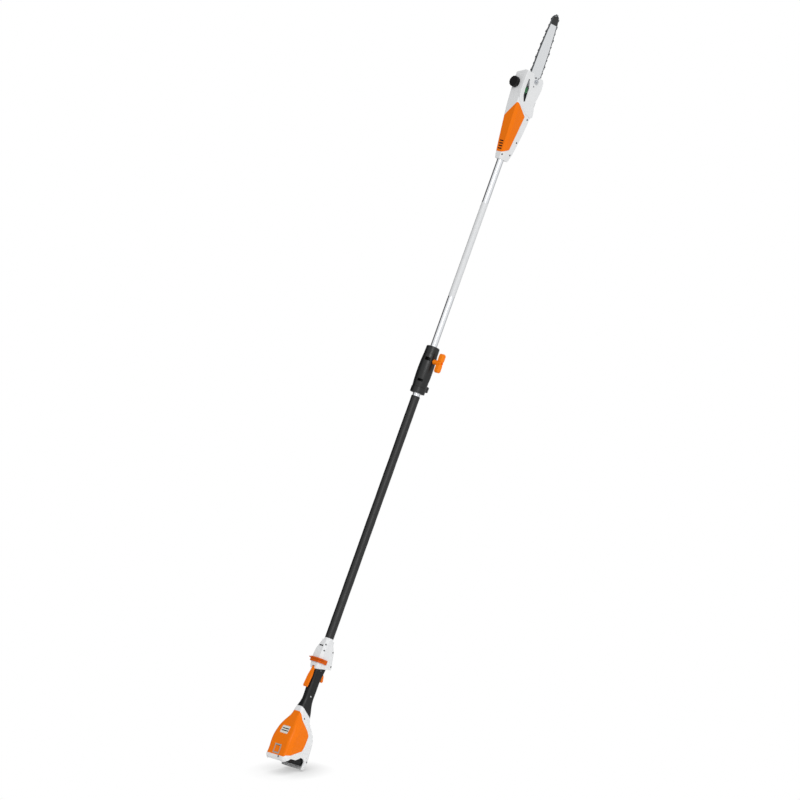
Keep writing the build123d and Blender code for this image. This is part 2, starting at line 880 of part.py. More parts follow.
# Lockout lever on the front of the grip
with BuildPart() as lockout_lever:
    with BuildSketch(Plane.YZ) as lever_outline:
        with BuildLine():
            Polyline(
                (-grip_front - 0.8, lever_top_z),
                (-grip_front - 6, lever_top_z),
                (-grip_front - 8.5, lever_top_z - 13),
                (lever_tip_y, lever_tip_z + 4),
                (lever_tip_y + 2.5, lever_tip_z),
                (lever_tip_y + 6.5, lever_tip_z - 1),
                (lever_tip_y + 8, lever_tip_z + 8),
                (-grip_front - 2.5, lever_top_z - 23),
                (-grip_front - 0.8, lever_top_z - 9),
                close=True,
            )
        make_face()
        fillet(lever_outline.vertices(), 1.2)
    extrude(amount=lever_half_width, both=True)
    fillet(lockout_lever.faces().filter_by(Axis.X).edges(), 1)
    lever_front_view = [
        (-lever_half_width, lever_tip_z - 9),
        (lever_half_width, lever_tip_z - 9),
        (lever_half_width, lever_taper_low_z),
        (lever_top_half_width, lever_taper_high_z),
        (lever_top_half_width, lever_top_z + 9),
        (-lever_top_half_width, lever_top_z + 9),
        (-lever_top_half_width, lever_taper_high_z),
        (-lever_half_width, lever_taper_low_z),
    ]
    add(prism_along_y(lever_front_view, 0, 2 * lever_tip_y, 0), mode=Mode.INTERSECT)
    with BuildSketch(Plane.YZ):
        with BuildLine():
            Polyline(
                (-grip_front - 3, lever_top_z - 1),
                (lever_pivot[0], lever_pivot[1] + trigger_hub_radius),
                (lever_pivot[0], lever_pivot[1] - trigger_hub_radius),
                (-grip_front - 3, lever_top_z - 13),
                close=True,
            )
        make_face()
        with Locations(lever_pivot):
            Circle(trigger_hub_radius)
    extrude(amount=lever_ear_half_width, both=True)
    add(
        rod_along_x([lever_pivot], trigger_pin_radius + snug, -lever_half_width, lever_half_width),
        mode=Mode.SUBTRACT,
    )
export(lockout_lever, "lockout_lever")

# Switch module between the two levers, seated on the grip's side walls
with BuildPart() as switch_module:
    switch_half_width = grip_slim_half_width - base_wall - 2 * slip
    with Locations((0, 0, switch_z)):
        Box(2 * switch_half_width, switch_depth, switch_height)
    fillet(switch_module.edges().filter_by(Axis.Z), 1.5)
    with BuildSketch(Plane.XZ.offset(-switch_depth / 2)):
        with Locations((0, switch_z + 4)):
            Circle(plunger_radius)
    extrude(amount=-plunger_length)
export(switch_module, "switch_module")


# Control box forms
box_slope = (box_bottom_rear_z - box_bottom_front_z) / (box_flare_rear + box_flare_front)
box_floor = Plane(origin=(0, -box_flare_front, box_bottom_front_z), x_dir=(1, 0, 0), z_dir=(0, -box_slope, 1))
tube_seat = lower_tube_radius + snug


def box_stations():
    """Height, half width, front, rear, bevel and corner of each section of the control box, bottom up."""
    bevel = (box_bevel_width, box_bevel_depth, box_corner)
    return [
        (box_bottom_front_z - 10, box_flare_half_width - 7, box_flare_front - 7, box_flare_rear - 14, *bevel),
        (box_flare_z, box_flare_half_width, box_flare_front, box_flare_rear, *bevel),
        (box_latch_z, box_half_width, box_front, box_rear, *bevel),
        (box_shoulder_z, box_half_width - 1, box_front - 3, box_rear - 7, *bevel),
        (box_top - 12, collar_radius + 2, collar_radius + 6.5, collar_radius + 2.5, *bevel),
        (box_top, collar_radius + 1, collar_radius + 4, collar_radius + 1, *bevel),
    ]


def box_form(grow):
    """The control box's outer form, grown or shrunk all round."""
    return smooth_form(box_stations(), box_layers, six_sided, grow, 0)


with BuildPart() as box_cavity:
    add(box_form(-box_wall))
    split(bisect_by=box_floor.offset(box_wall), keep=Keep.TOP)
    split(bisect_by=Plane.XY.offset(box_top - 2 * box_wall), keep=Keep.BOTTOM)

latch_stem_low = latch_band_low + 4
latch_stem_high = latch_band_low + 11
latch_inside = box_front - box_wall - band_inset
latch_slot = box_between(
    (-stem_half_width - slip, -2 * box_front, latch_stem_low - slip),
    (stem_half_width + slip, 0, latch_stem_high + band_travel + slip),
)
lever_gap = lever_top_half_width + 2 * slip
lever_notch = box_between(
    (-lever_gap, -2 * box_front, box_bottom_front_z - 2 * box_wall), (lever_gap, lever_pivot[0], lever_top_z + 2)
)

with BuildPart() as box_bars:
    add(rod_along_x(box_screw_places, box_boss_radius, -2 * box_half_width, 2 * box_half_width))
    with Locations((0, 0, bulkhead_z + bulkhead_thickness / 2)):
        Box(4 * box_half_width, 4 * box_front, bulkhead_thickness)
    add(box_form(-1), mode=Mode.INTERSECT)

with BuildPart() as grip_end:
    add(handle_form(snug))
    split(bisect_by=Plane.XY.offset(grip_wide_z), keep=Keep.TOP)

with BuildPart() as box_body:
    add(box_form(0))
    split(bisect_by=box_floor, keep=Keep.TOP)
    add(box_cavity.part, mode=Mode.SUBTRACT)
    add(box_bars.part)
    with BuildSketch(Plane.XY.offset(box_top - box_wall)):
        Circle(collar_radius)
    extrude(amount=collar_top - box_top + box_wall)
    with Locations((0, 0, lower_tube_bottom), (0, 0, collar_top)):
        Cylinder(tube_seat, collar_top - lower_tube_bottom, mode=Mode.SUBTRACT)

box_screw_holes = rod_along_x(box_screw_places, boss_holes, -screw_reach - 1, box_screw_seat)
box_head_holes = rod_along_x(box_screw_places, head_hole, box_screw_seat, 2 * box_half_width)
for side, hand in ((1, "right"), (-1, "left")):
    box_half = half_shell(box_body.part, side)
    with BuildPart() as box_shell:
        add(box_half.part)
        add(grip_end.part, mode=Mode.SUBTRACT)
        add(latch_slot, mode=Mode.SUBTRACT)
        add(lever_notch, mode=Mode.SUBTRACT)
        add(box_screw_holes, mode=Mode.SUBTRACT)
        add(box_head_holes, mode=Mode.SUBTRACT)
    export(box_shell, f"control_box_{hand}")

box_screws = shell_screws(box_screw_places, box_screw_seat, screw_reach)

# Retaining latch: a crescent band round the front with a thumb lip, a stem and an inner flange
band_profile = (box_half_width, box_front, box_rear, box_bevel_width, box_bevel_depth, box_corner)
band_cut = box_between(
    (-4 * box_half_width, band_end_y, latch_band_low - 1), (4 * box_half_width, 4 * box_rear, latch_band_high + 1)
)
with BuildPart() as retaining_latch:
    with BuildSketch(Plane.XY.offset(latch_band_low)):
        add(six_sided(*band_profile, slip + band_thickness))
        add(six_sided(*band_profile, slip), mode=Mode.SUBTRACT)
    extrude(amount=latch_band_high - latch_band_low)
    with BuildSketch(Plane.XY.offset(latch_stem_high)):
        add(six_sided(*band_profile, slip + band_thickness + lip_reach))
        add(six_sided(*band_profile, slip), mode=Mode.SUBTRACT)
        with Locations((0, 4 * box_rear - box_front / 2)):
            Rectangle(8 * box_half_width, 8 * box_rear, mode=Mode.SUBTRACT)
    extrude(amount=lip_thickness)
    add(band_cut, mode=Mode.SUBTRACT)
    add(box_between((-stem_half_width, -box_front - 1, latch_stem_low), (stem_half_width, -latch_inside, latch_stem_high)))
    flange_low = (-1.6 * stem_half_width, -latch_inside, latch_stem_low)
    flange_high = (1.6 * stem_half_width, -latch_inside + flange_thickness, latch_stem_high)
    add(box_between(flange_low, flange_high))
export(retaining_latch, "retaining_latch")

with BuildPart() as latch_spring:
    with BuildSketch(Plane.XY.offset(latch_stem_high)):
        with Locations((0, -latch_inside + flange_thickness / 2)):
            Circle(latch_spring_radius)
            Circle(latch_spring_radius - 0.6, mode=Mode.SUBTRACT)
    extrude(amount=bulkhead_z - latch_stem_high)
export(latch_spring, "latch_spring")


def tube_along_z(outer, inner, bottom, top):
    """Tube on the pole axis."""
    with BuildPart() as tube:
        with BuildSketch(Plane.XY.offset(bottom)):
            Circle(outer)
            Circle(inner, mode=Mode.SUBTRACT)
        extrude(amount=top - bottom)
    return tube


def rod_along_z(radius, bottom, top):
    """Round bar on the pole axis."""
    with BuildPart() as rod:
        with BuildSketch(Plane.XY.offset(bottom)):
            Circle(radius)
        extrude(amount=top - bottom)
    return rod.part


# Tubes of the pole, the foam sleeve, the blank label and the lead inside
lower_tube = tube_along_z(lower_tube_radius, lower_tube_radius - lower_tube_wall, lower_tube_bottom, lower_tube_top)
export(lower_tube, "lower_tube")

with BuildPart() as foam_sleeve:
    add(tube_along_z(foam_radius, lower_tube_radius + snug, foam_bottom, foam_top).part)
    chamfer(foam_sleeve.edges().filter_by(GeomType.CIRCLE).sort_by(SortBy.RADIUS)[-2:], 1)
export(foam_sleeve, "foam_sleeve")

upper_bore = upper_tube_radius - upper_tube_wall
upper_tube = tube_along_z(upper_tube_radius, upper_bore, upper_tube_bottom, upper_tube_top)
export(upper_tube, "upper_tube")

label_bore = upper_tube_radius + snug
label_sleeve = tube_along_z(label_bore + label_thickness, label_bore, label_bottom, label_top)
export(label_sleeve, "label_sleeve")

lead_bore = lead_radius + slip
with BuildPart() as slide_plug:
    add(tube_along_z(upper_bore - snug, lead_bore, upper_tube_bottom, upper_tube_bottom + plug_length).part)
    with BuildSketch(Plane.XY.offset(upper_tube_bottom - plug_flange)):
        Circle(upper_tube_radius)
        Circle(lead_bore, mode=Mode.SUBTRACT)
    extrude(amount=plug_flange)
export(slide_plug, "slide_plug")

with BuildPart() as coiled_lead:
    add(rod_along_z(lead_radius, lead_bottom, lead_top))
export(coiled_lead, "coiled_lead")

# Clamp shells
clamp_screw_places = [(hand * clamp_screw_y, z) for z in clamp_screw_heights for hand in (-1, 1)]
ring_top = clamp_bottom + clamp_ring_height
pocket_floor = lower_tube_radius + 2.3


def clamp_pockets():
    """Square pockets that let the screw heads in from the right side."""
    pockets = []
    for z, half_height in zip(clamp_screw_heights, clamp_pocket_half_heights):
        for hand in (-1, 1):
            near, far = sorted((hand * pocket_floor, hand * 2 * clamp_belly_radius))
            low = (clamp_screw_seat, near, z - half_height)
            high = (2 * clamp_belly_radius, far, z + half_height)
            pockets.append(box_between(low, high))
    return pockets


with BuildPart() as clamp_nut_form:
    with BuildSketch(Plane.YZ.offset(nut_start)):
        with Locations((0, knob_z)):
            RegularPolygon(nut_across_flats / 2, 6, major_radius=False)
    extrude(amount=nut_thickness)

lug_low = clamp_lug_z - clamp_lug_height / 2
with BuildPart() as clamp_lug:
    add(box_between((-6, 0, lug_low), (6, clamp_lug_reach, lug_low + clamp_lug_height)))
    fillet(clamp_lug.edges().filter_by(Axis.X), 4)

with BuildPart() as clamp_body:
    with BuildSketch(Plane.XZ) as clamp_section:
        with BuildLine():
            Polyline(
                (0, clamp_bottom),
                (clamp_ring_radius, clamp_bottom),
                (clamp_ring_radius, ring_top),
                (clamp_waist_radius - clamp_groove, ring_top),
                (clamp_waist_radius - clamp_groove, ring_top + 2),
                (clamp_waist_radius, ring_top + 2),
            )
            Spline(
                (clamp_waist_radius, ring_top + 2),
                (clamp_belly_radius, clamp_belly_z),
                (clamp_cap_radius, clamp_cap_bottom),
            )
            Polyline(
                (clamp_cap_radius, clamp_cap_bottom),
                (clamp_cap_radius - clamp_groove, clamp_cap_bottom),
                (clamp_cap_radius - clamp_groove, clamp_cap_bottom + 2),
                (clamp_cap_radius, clamp_cap_bottom + 2),
                (clamp_cap_radius - 1, clamp_top),
                (0, clamp_top),
                (0, clamp_bottom),
            )
        make_face()
    revolve(axis=Axis.Z)
    top_rim = clamp_body.faces().sort_by(Axis.Z)[-1].edges()
    fillet(top_rim, clamp_edge)
    bottom_rim = clamp_body.faces().sort_by(Axis.Z)[0].edges()
    fillet(bottom_rim, clamp_edge / 2)
    add(clamp_lug.part)
    with BuildSketch(Plane.YZ) as knob_boss:
        with Locations((0, knob_z)):
            Circle(knob_hub_radius)
    extrude(amount=clamp_belly_radius)
    clamp_cuts = [
        rod_along_z(lower_tube_radius + snug, clamp_bottom - 1, lower_tube_top),
        rod_along_z(upper_tube_radius + slip, clamp_bottom - 1, clamp_top + 1),
        rod_along_z(upper_tube_radius + slip + collar_wall, collar_bottom, collar_bottom + collar_height),
        box_between(
            (0, -pad_half_width - snug, knob_z - pad_half_height - snug),
            (nut_start, pad_half_width + snug, knob_z + pad_half_height + snug),
        ),
        clamp_nut_form.part,
        rod_along_x([(0, knob_z)], stud_radius + slip, 0, 2 * clamp_belly_radius),
        rod_along_x(clamp_screw_places, boss_holes, -clamp_screw_reach - 1, clamp_screw_seat),
        *clamp_pockets(),
    ]
    add(clamp_cuts, mode=Mode.SUBTRACT)

for side, hand in ((1, "right"), (-1, "left")):
    export(half_shell(clamp_body.part, side), f"clamp_shell_{hand}")

clamp_screws = shell_screws(clamp_screw_places, clamp_screw_seat, clamp_screw_reach)

with BuildPart() as body_screws:
    add([base_screws.part, grip_screws.part, box_screws.part, clamp_screws.part])
export(body_screws, "body_screws")

guide_collar = tube_along_z(
    upper_tube_radius + slip + collar_wall - snug,
    upper_tube_radius + slip,
    collar_bottom + snug,
    collar_bottom + collar_height - snug,
)
export(guide_collar, "guide_collar")

with BuildPart() as clamp_pad:
    pad_low = (upper_tube_radius / 2, -pad_half_width, knob_z - pad_half_height)
    add(box_between(pad_low, (nut_start - slip, pad_half_width, knob_z + pad_half_height)))
    with Locations((0, 0, knob_z)):
        Cylinder(upper_tube_radius + slip, 4 * pad_half_height, mode=Mode.SUBTRACT)
    tube_end = tube_along_z(lower_tube_radius, upper_tube_radius, lower_tube_bottom, lower_tube_top)
    add(tube_end.part, mode=Mode.SUBTRACT)
export(clamp_pad, "clamp_pad")

with BuildPart() as clamp_nut:
    add(clamp_nut_form.part)
    add(rod_along_x([(0, knob_z)], stud_radius + snug, 0, 2 * clamp_belly_radius), mode=Mode.SUBTRACT)
export(clamp_nut, "clamp_nut")

with BuildPart() as clamp_stud:
    add(rod_along_x([(0, knob_z)], stud_radius, nut_start + slip, knob_hub_end))
export(clamp_stud, "clamp_stud")

with BuildPart() as wing_knob:
    add(rod_along_x([(0, knob_z)], knob_hub_radius - 2, clamp_belly_radius + slip, knob_hub_end))
    with BuildSketch(Plane.YZ.offset(knob_hub_end)):
        lobe = (knob_wing_span - knob_lobe_length) / 2
        with Locations((0, knob_z)):
            Circle(knob_hub_radius - 2.5)
        with Locations((0, knob_z - lobe), (0, knob_z + lobe)):
            SlotOverall(knob_lobe_length, 2 * knob_lobe_radius, rotation=90)
    extrude(amount=knob_wing_end - knob_hub_end)
    fillet(wing_knob.faces().sort_by(Axis.X)[-1].edges(), 3)
    add(
        rod_along_x([(0, knob_z)], knob_recess_radius, knob_wing_end - knob_recess_depth, knob_wing_end + 1),
        mode=Mode.SUBTRACT,
    )
    add(rod_along_x([(0, knob_z)], stud_radius, 0, knob_hub_end), mode=Mode.SUBTRACT)
export(wing_knob, "wing_knob")


# Saw head forms
gear_z = motor_z + gear_module * (pinion_teeth + gear_teeth) / 2
motor_axis = (drive_y, motor_z)
sprocket_axis = (drive_y, gear_z)
head_slope = (head_top_right_z - head_top_left_z) / (near_face + head_left)
head_roof = Plane(origin=(near_face, 0, head_top_right_z), x_dir=(0, 1, 0), z_dir=(-head_slope, 0, 1))
head_reach = head_left + head_front


def head_profile(left, right, front, rear, bevel_width, bevel_depth, corner, grow):
    """Six-sided section whose left and right sides are unlike distances from the pole axis."""
    with BuildSketch(mode=Mode.PRIVATE) as outline:
        with Locations(((right - left) / 2, 0)):
            add(six_sided((left + right) / 2, front, rear, bevel_width, bevel_depth, corner, grow))
    return outline.sketch


def head_stations():
    """Height, left, right, front, rear, bevel and corner of each section of the saw head, bottom up."""
    bevel = (head_bevel_width, head_bevel_depth, head_corner)
    neck = (head_neck_half_width, head_neck_half_width, head_neck_front, head_neck_rear)
    return [
        (head_bottom, *neck, *bevel),
        (head_bottom + 13, neck[0] + 2, neck[1] + 2, neck[2] + 2, neck[3] + 4, *bevel),
        (head_socket_z, head_left - 11, head_right - 7, head_front - 19, head_rear - 9, *bevel),
        (head_belly_z, head_left - 7, head_right - 3, head_front - 10, head_rear - 1, *bevel),
        (motor_z, head_left - 3, head_right, head_front - 4, head_rear + 1, *bevel),
        (head_top - 70, head_left - 1, head_right, head_front - 1, head_rear, *bevel),
        (head_top, head_left, head_right, head_front, head_rear - 3, *bevel),
    ]


def head_form(grow):
    """The saw head's outer form, grown or shrunk all round."""
    return smooth_form(head_stations(), head_layers, head_profile, grow, 0)


def chain_circles():
    """Centre height and radius of the circles that the bar's outline wraps, root to nose."""
    return [
        (bar_root_z, bar_root_radius),
        (bar_middle_z, bar_middle_radius),
        (bar_taper_z, bar_taper_radius),
        (bar_nose_z, bar_nose_radius),
    ]


def belt_outline(circles, grow):
    """Sketch of a belt wrapped round circles on one upright line, first circle at the bottom."""
    steps = zip(circles, circles[1:])
    tilts = [asin((r_low - r_high) / (z_high - z_low)) for (z_low, r_low), (z_high, r_high) in steps]
    turns = [-pi / 2, *tilts, pi / 2]

    def place(circle, angle, hand):
        z, radius = circle
        return (drive_y + hand * (radius + grow) * cos(angle), z + (radius + grow) * sin(angle))

    with BuildSketch(mode=Mode.PRIVATE) as belt:
        with BuildLine():
            for hand in (1, -1):
                run_start = None
                for circle, turn_in, turn_out in zip(circles, turns, turns[1:]):
                    arc_start = place(circle, turn_in, hand)
                    if run_start:
                        Line(run_start, arc_start)
                    run_start = place(circle, turn_out, hand)
                    ThreePointArc(arc_start, place(circle, (turn_in + turn_out) / 2, hand), run_start)
        make_face()
    return belt.sketch


def belt_prism(circles, grow, start, end):
    """Solid of a belt outline between two planes across the head."""
    with BuildPart() as prism:
        with BuildSketch(Plane.YZ.offset(start)):
            add(belt_outline(circles, grow))
        extrude(amount=end - start)
    return prism.part


wheel_circle = (gear_z, sprocket_radius + chain_gap)
chain_loop = [wheel_circle, *[(z, radius + chain_gap) for z, radius in chain_circles()]]


def sprocket_cover_outline(grow):
    """YZ outline of the sprocket cover: front flank, lower edge, rear hook, rear lobe and scooped top."""
    with BuildSketch(mode=Mode.PRIVATE) as outline:
        with BuildLine():
            Polyline(
                (-head_front, head_top - 12),
                (-head_front - 2, head_top - 40),
                (-head_front - 1, head_top - 94),
                (-head_front + 7, near_face_bottom + 47),
                (14, near_face_bottom + 10),
                (head_rear - 1, near_face_bottom + 2),
                (head_rear + 9, near_face_bottom + 11),
                (head_rear + 4, near_face_bottom + 36),
                (head_rear - 4, near_face_bottom + 54),
                (head_rear + 1, near_face_bottom + 80),
                (head_rear + 7, head_top - 58),
                (head_rear + 4, head_top - 32),
                (head_rear - 4, head_top - 19),
                (25, head_top - 18),
                (20, head_top - 28),
                (-6, head_top - 28),
                (-11, head_top - 12),
                close=True,
            )
        make_face()
        fillet(outline.vertices(), 3)
        if grow:
            offset(amount=grow, kind=Kind.INTERSECTION)
    return outline.sketch


def head_cover_outline(grow):
    """Region of the orange front cover: a side outline cut by a slanted edge on the front face."""
    far = -2 * head_front
    side_points = [
        (far, motor_z + 20),
        (-head_front + 12, motor_z + 1 + grow),
        (16 + grow, near_face_bottom - 1 + grow),
        (5 + grow, head_bottom + 42 - grow),
        (-head_front + 14, head_bottom + 20 - grow),
        (far, head_bottom + 20 - grow),
    ]
    front_points = [
        (-head_reach, head_bottom),
        (head_reach, head_bottom),
        (head_reach, motor_z + 50),
        (21, motor_z - 1 + grow),
        (-21, motor_z - 54 + grow),
        (-head_left - 4, motor_z - 66 + grow),
        (-head_reach, motor_z - 66 + grow),
    ]
    with BuildPart() as region:
        add(prism_along_x(side_points, 0, head_reach))
        add(prism_along_y(front_points, 0, -head_reach, head_reach), mode=Mode.INTERSECT)
    return region.part


# Head casing: hollow form, socket for the tube, flat near face for the sprocket cover
head_outer = head_form(0)
head_cover_back = head_form(-head_cover_thickness)
with BuildPart() as head_cavity:
    add(head_form(-head_wall))
    split(bisect_by=head_roof.offset(-head_wall), keep=Keep.BOTTOM)
    split(bisect_by=Plane.XY.offset(head_socket_z), keep=Keep.TOP)
    near_block = box_between(
        (near_face - near_wall, -head_reach, near_face_bottom - near_wall), (head_reach, head_reach, 2 * head_top)
    )
    add(near_block, mode=Mode.SUBTRACT)

with BuildPart() as cover_room:
    with BuildSketch(Plane.YZ.offset(near_face)):
        add(sprocket_cover_outline(slip))
        with Locations((0, head_top + 20)):
            Rectangle(4 * head_front, 4 * 30)
        for flank_y, shoulder_z in ((-head_front, shoulder_front_z), (head_rear, shoulder_rear_z)):
            with Locations((flank_y, (shoulder_z + head_top) / 2)):
                Rectangle(2 * shoulder_width, head_top - shoulder_z)
    extrude(amount=head_reach)

with BuildPart() as head_bars:
    add(rod_along_x(head_screw_places, head_boss_radius, -head_reach, head_reach))
    add(head_outer, mode=Mode.INTERSECT)

with BuildPart() as head_cover_rebate:
    add(head_cover_outline(gap_parting))
    add(head_form(-head_cover_thickness - snug), mode=Mode.SUBTRACT)

vent_half = head_vent_width / 2
head_vent_pocket = box_between(
    (-vent_half - 2, -head_reach, head_vent_low - 2), (vent_half + 2, 0, head_vent_high + 2)
)
with BuildPart() as grille_seat:
    add(head_vent_pocket)
    add(head_form(-head_cover_thickness - grille_thickness - snug), mode=Mode.SUBTRACT)

bearing_boss_start = gear_start + gear_width + 2 * slip
head_cuts = [
    grille_seat.part,
    head_cover_rebate.part,
    cover_room.part,
    rod_along_z(upper_tube_radius + snug, head_bottom - 1, upper_tube_top + snug),
    rod_along_z(lead_radius + slip, head_bottom - 1, head_socket_z + 1),
    rod_along_x(head_screw_places, boss_holes, -screw_reach - 1, head_screw_seat),
    rod_along_x(head_screw_places, head_hole, head_screw_seat, head_reach),
    rod_along_x([sprocket_axis], bearing_outer_radius + snug, bearing_boss_start - 1, head_reach),
    rod_along_x([stud_place], bar_stud_radius + snug, 0, head_reach),
    rod_along_x([tension_place], tension_radius + snug, 0, head_reach),
]
with BuildPart() as filler_hole:
    with BuildSketch(Plane.XZ):
        with Locations(cap_place):
            Circle(neck_radius + snug)
    extrude(amount=head_reach)
head_cuts.append(filler_hole.part)

with BuildPart() as head_body:
    add(head_outer)
    split(bisect_by=head_roof, keep=Keep.BOTTOM)
    add(head_cavity.part, mode=Mode.SUBTRACT)
    add(head_bars.part)
    boss_end = near_face - near_wall / 2
    add(rod_along_x([sprocket_axis], bearing_outer_radius + bearing_wall, bearing_boss_start, boss_end))
    add(head_cuts, mode=Mode.SUBTRACT)

for side, hand in ((1, "right"), (-1, "left")):
    export(half_shell(head_body.part, side), f"head_shell_{hand}")

head_screws = shell_screws(head_screw_places, head_screw_seat, screw_reach)
export(head_screws, "head_screws")

# Head front cover with vent slots, and the dark grille behind them
slot_pitch = (head_vent_high - head_vent_low) / head_vent_slots
vent_cuts = []
for slot in range(head_vent_slots):
    slot_z = head_vent_low + (slot + 0.25) * slot_pitch
    vent_cuts.append(box_between((-vent_half, -head_reach, slot_z), (vent_half, 0, slot_z + slot_pitch / 2)))
with BuildPart() as head_cover:
    add(head_outer)
    add(head_cover_outline(0), mode=Mode.INTERSECT)
    add([head_cover_back, *vent_cuts], mode=Mode.SUBTRACT)
export(head_cover, "head_cover")

# Sprocket cover with its room for the chain, window, nut seat and tensioner hole
with BuildPart() as sprocket_cover:
    with BuildSketch(Plane.YZ.offset(near_face + snug)):
        add(sprocket_cover_outline(0))
    extrude(amount=sprocket_cover_face - near_face - snug)
    fillet(sprocket_cover.faces().sort_by(Axis.X)[-1].edges(), 2.5)
    inner_face = sprocket_cover_face - sprocket_cover_plate
    add(belt_prism(chain_loop, chain_depth + cutter_height + sprocket_cover_room, 0, inner_face), mode=Mode.SUBTRACT)
    with BuildSketch(Plane.YZ.offset(near_face)) as window:
        with BuildLine():
            Polyline(
                (-31, head_top - 40),
                (-25, head_top - 40),
                (-12, head_top - 74),
                (-12, head_top - 92),
                (-10, head_top - 122),
                (-17, head_top - 126),
                (-29, head_top - 104),
                (-32, head_top - 80),
                close=True,
            )
        make_face()
        fillet(window.vertices(), 2)
    extrude(amount=head_reach, mode=Mode.SUBTRACT)
    add(
        [
            rod_along_x([stud_place], bar_stud_radius + slip, 0, head_reach),
            rod_along_x([tension_place], tension_radius + 1, 0, head_reach),
        ],
        mode=Mode.SUBTRACT,
    )
export(sprocket_cover, "sprocket_cover")


def toothed_wheel(axis, teeth, module, start, width, bore, tooth_at):
    """Spur wheel with short tapered teeth that run free of their mate."""
    pitch_radius = teeth * module / 2
    root = pitch_radius - module
    tip = pitch_radius + 0.6 * module
    half_root = 0.42 * module
    half_tip = 0.22 * module
    with BuildPart() as wheel:
        with BuildSketch(Plane.YZ.offset(start)):
            with Locations(axis):
                Circle(root)
                with PolarLocations(0, teeth, start_angle=tooth_at):
                    Polygon(
                        (root - module / 2, -half_root - 0.2 * module),
                        (tip, -half_tip),
                        (tip, half_tip),
                        (root - module / 2, half_root + 0.2 * module),
                        align=None,
                    )
                Circle(bore, mode=Mode.SUBTRACT)
        extrude(amount=width)
    return wheel


# Drive train: motor can, rotor with pinion, mount plate, gear, shaft, bearings and sprocket
with BuildPart() as motor_can:
    add(rod_along_x([motor_axis], motor_radius, motor_start, motor_end))
    add(
        rod_along_x([motor_axis], motor_radius - motor_wall, motor_start + motor_wall, motor_end - motor_wall),
        mode=Mode.SUBTRACT,
    )
    add(rod_along_x([motor_axis], rotor_shaft_radius + snug, motor_start - 1, motor_end + 1), mode=Mode.SUBTRACT)
export(motor_can, "motor_can")

pinion = toothed_wheel(motor_axis, pinion_teeth, gear_module, gear_start, gear_width, rotor_shaft_radius / 2, 90 + 15)
with BuildPart() as motor_rotor:
    add(rod_along_x([motor_axis], rotor_shaft_radius, motor_start, gear_start + gear_width))
    add(rod_along_x([motor_axis], rotor_radius, motor_start + 3 * motor_wall, motor_end - 3 * motor_wall))
    add(pinion.part)
export(motor_rotor, "motor_rotor")

with BuildPart() as mount_plate:
    plate_back = plate_face - plate_thickness
    add(head_form(-head_wall - snug))
    add(
        box_between((plate_back, -head_reach, plate_bottom), (plate_face, head_reach, plate_top_z)),
        mode=Mode.INTERSECT,
    )
    add(
        [
            rod_along_x([motor_axis], rotor_shaft_radius + 2 * slip, motor_end, gear_start),
            rod_along_x([sprocket_axis], bearing_inner_radius + snug, motor_end, gear_start),
            rod_along_x(head_screw_places, head_boss_radius + slip, -head_reach, head_reach),
        ],
        mode=Mode.SUBTRACT,
    )
export(mount_plate, "mount_plate")

drive_gear = toothed_wheel(sprocket_axis, gear_teeth, gear_module, gear_start, gear_width, shaft_radius, 90)
export(drive_gear, "drive_gear")

with BuildPart() as sprocket_shaft:
    add(rod_along_x([sprocket_axis], shaft_radius, plate_back, bar_plane + sprocket_width / 2 + 2))
export(sprocket_shaft, "sprocket_shaft")

outer_bearing_start = bearing_boss_start + slip
with BuildPart() as shaft_bearings:
    bore = shaft_radius + snug
    add(tube_along_x(sprocket_axis, bearing_inner_radius, bore, plate_back, plate_back + bearing_inner_width))
    add(
        tube_along_x(
            sprocket_axis, bearing_outer_radius, bore, outer_bearing_start, outer_bearing_start + bearing_outer_width
        )
    )
export(shaft_bearings, "shaft_bearings")

with BuildPart() as chain_sprocket:
    with BuildSketch(Plane.YZ.offset(bar_plane - sprocket_width / 2)):
        with Locations(sprocket_axis):
            Circle(0.72 * sprocket_radius)
            with PolarLocations(0, sprocket_teeth):
                Polygon(
                    (sprocket_radius / 2, -0.3 * sprocket_radius),
                    (0.98 * sprocket_radius, -0.12 * sprocket_radius),
                    (0.98 * sprocket_radius, 0.12 * sprocket_radius),
                    (sprocket_radius / 2, 0.3 * sprocket_radius),
                    align=None,
                )
            Circle(shaft_radius, mode=Mode.SUBTRACT)
    extrude(amount=sprocket_width)
export(chain_sprocket, "chain_sprocket")

# Guide bar with its stud slot and tension hole
bar_face = bar_plane - bar_thickness / 2
with BuildPart() as guide_bar:
    add(belt_prism(chain_circles(), 0, bar_face, bar_face + bar_thickness))
    tail = box_between(
        (-head_reach, -head_reach, head_bottom), (head_reach, head_reach, bar_tail_z)
    )
    add(tail, mode=Mode.SUBTRACT)
    with BuildSketch(Plane.YZ.offset(bar_face)):
        with Locations(stud_place):
            SlotCenterToCenter(bar_slot_length, 2 * (bar_stud_radius + slip), rotation=90)
        with Locations(tension_place):
            Circle(tension_radius + 1)
    extrude(amount=bar_thickness, mode=Mode.SUBTRACT)
export(guide_bar, "guide_bar")

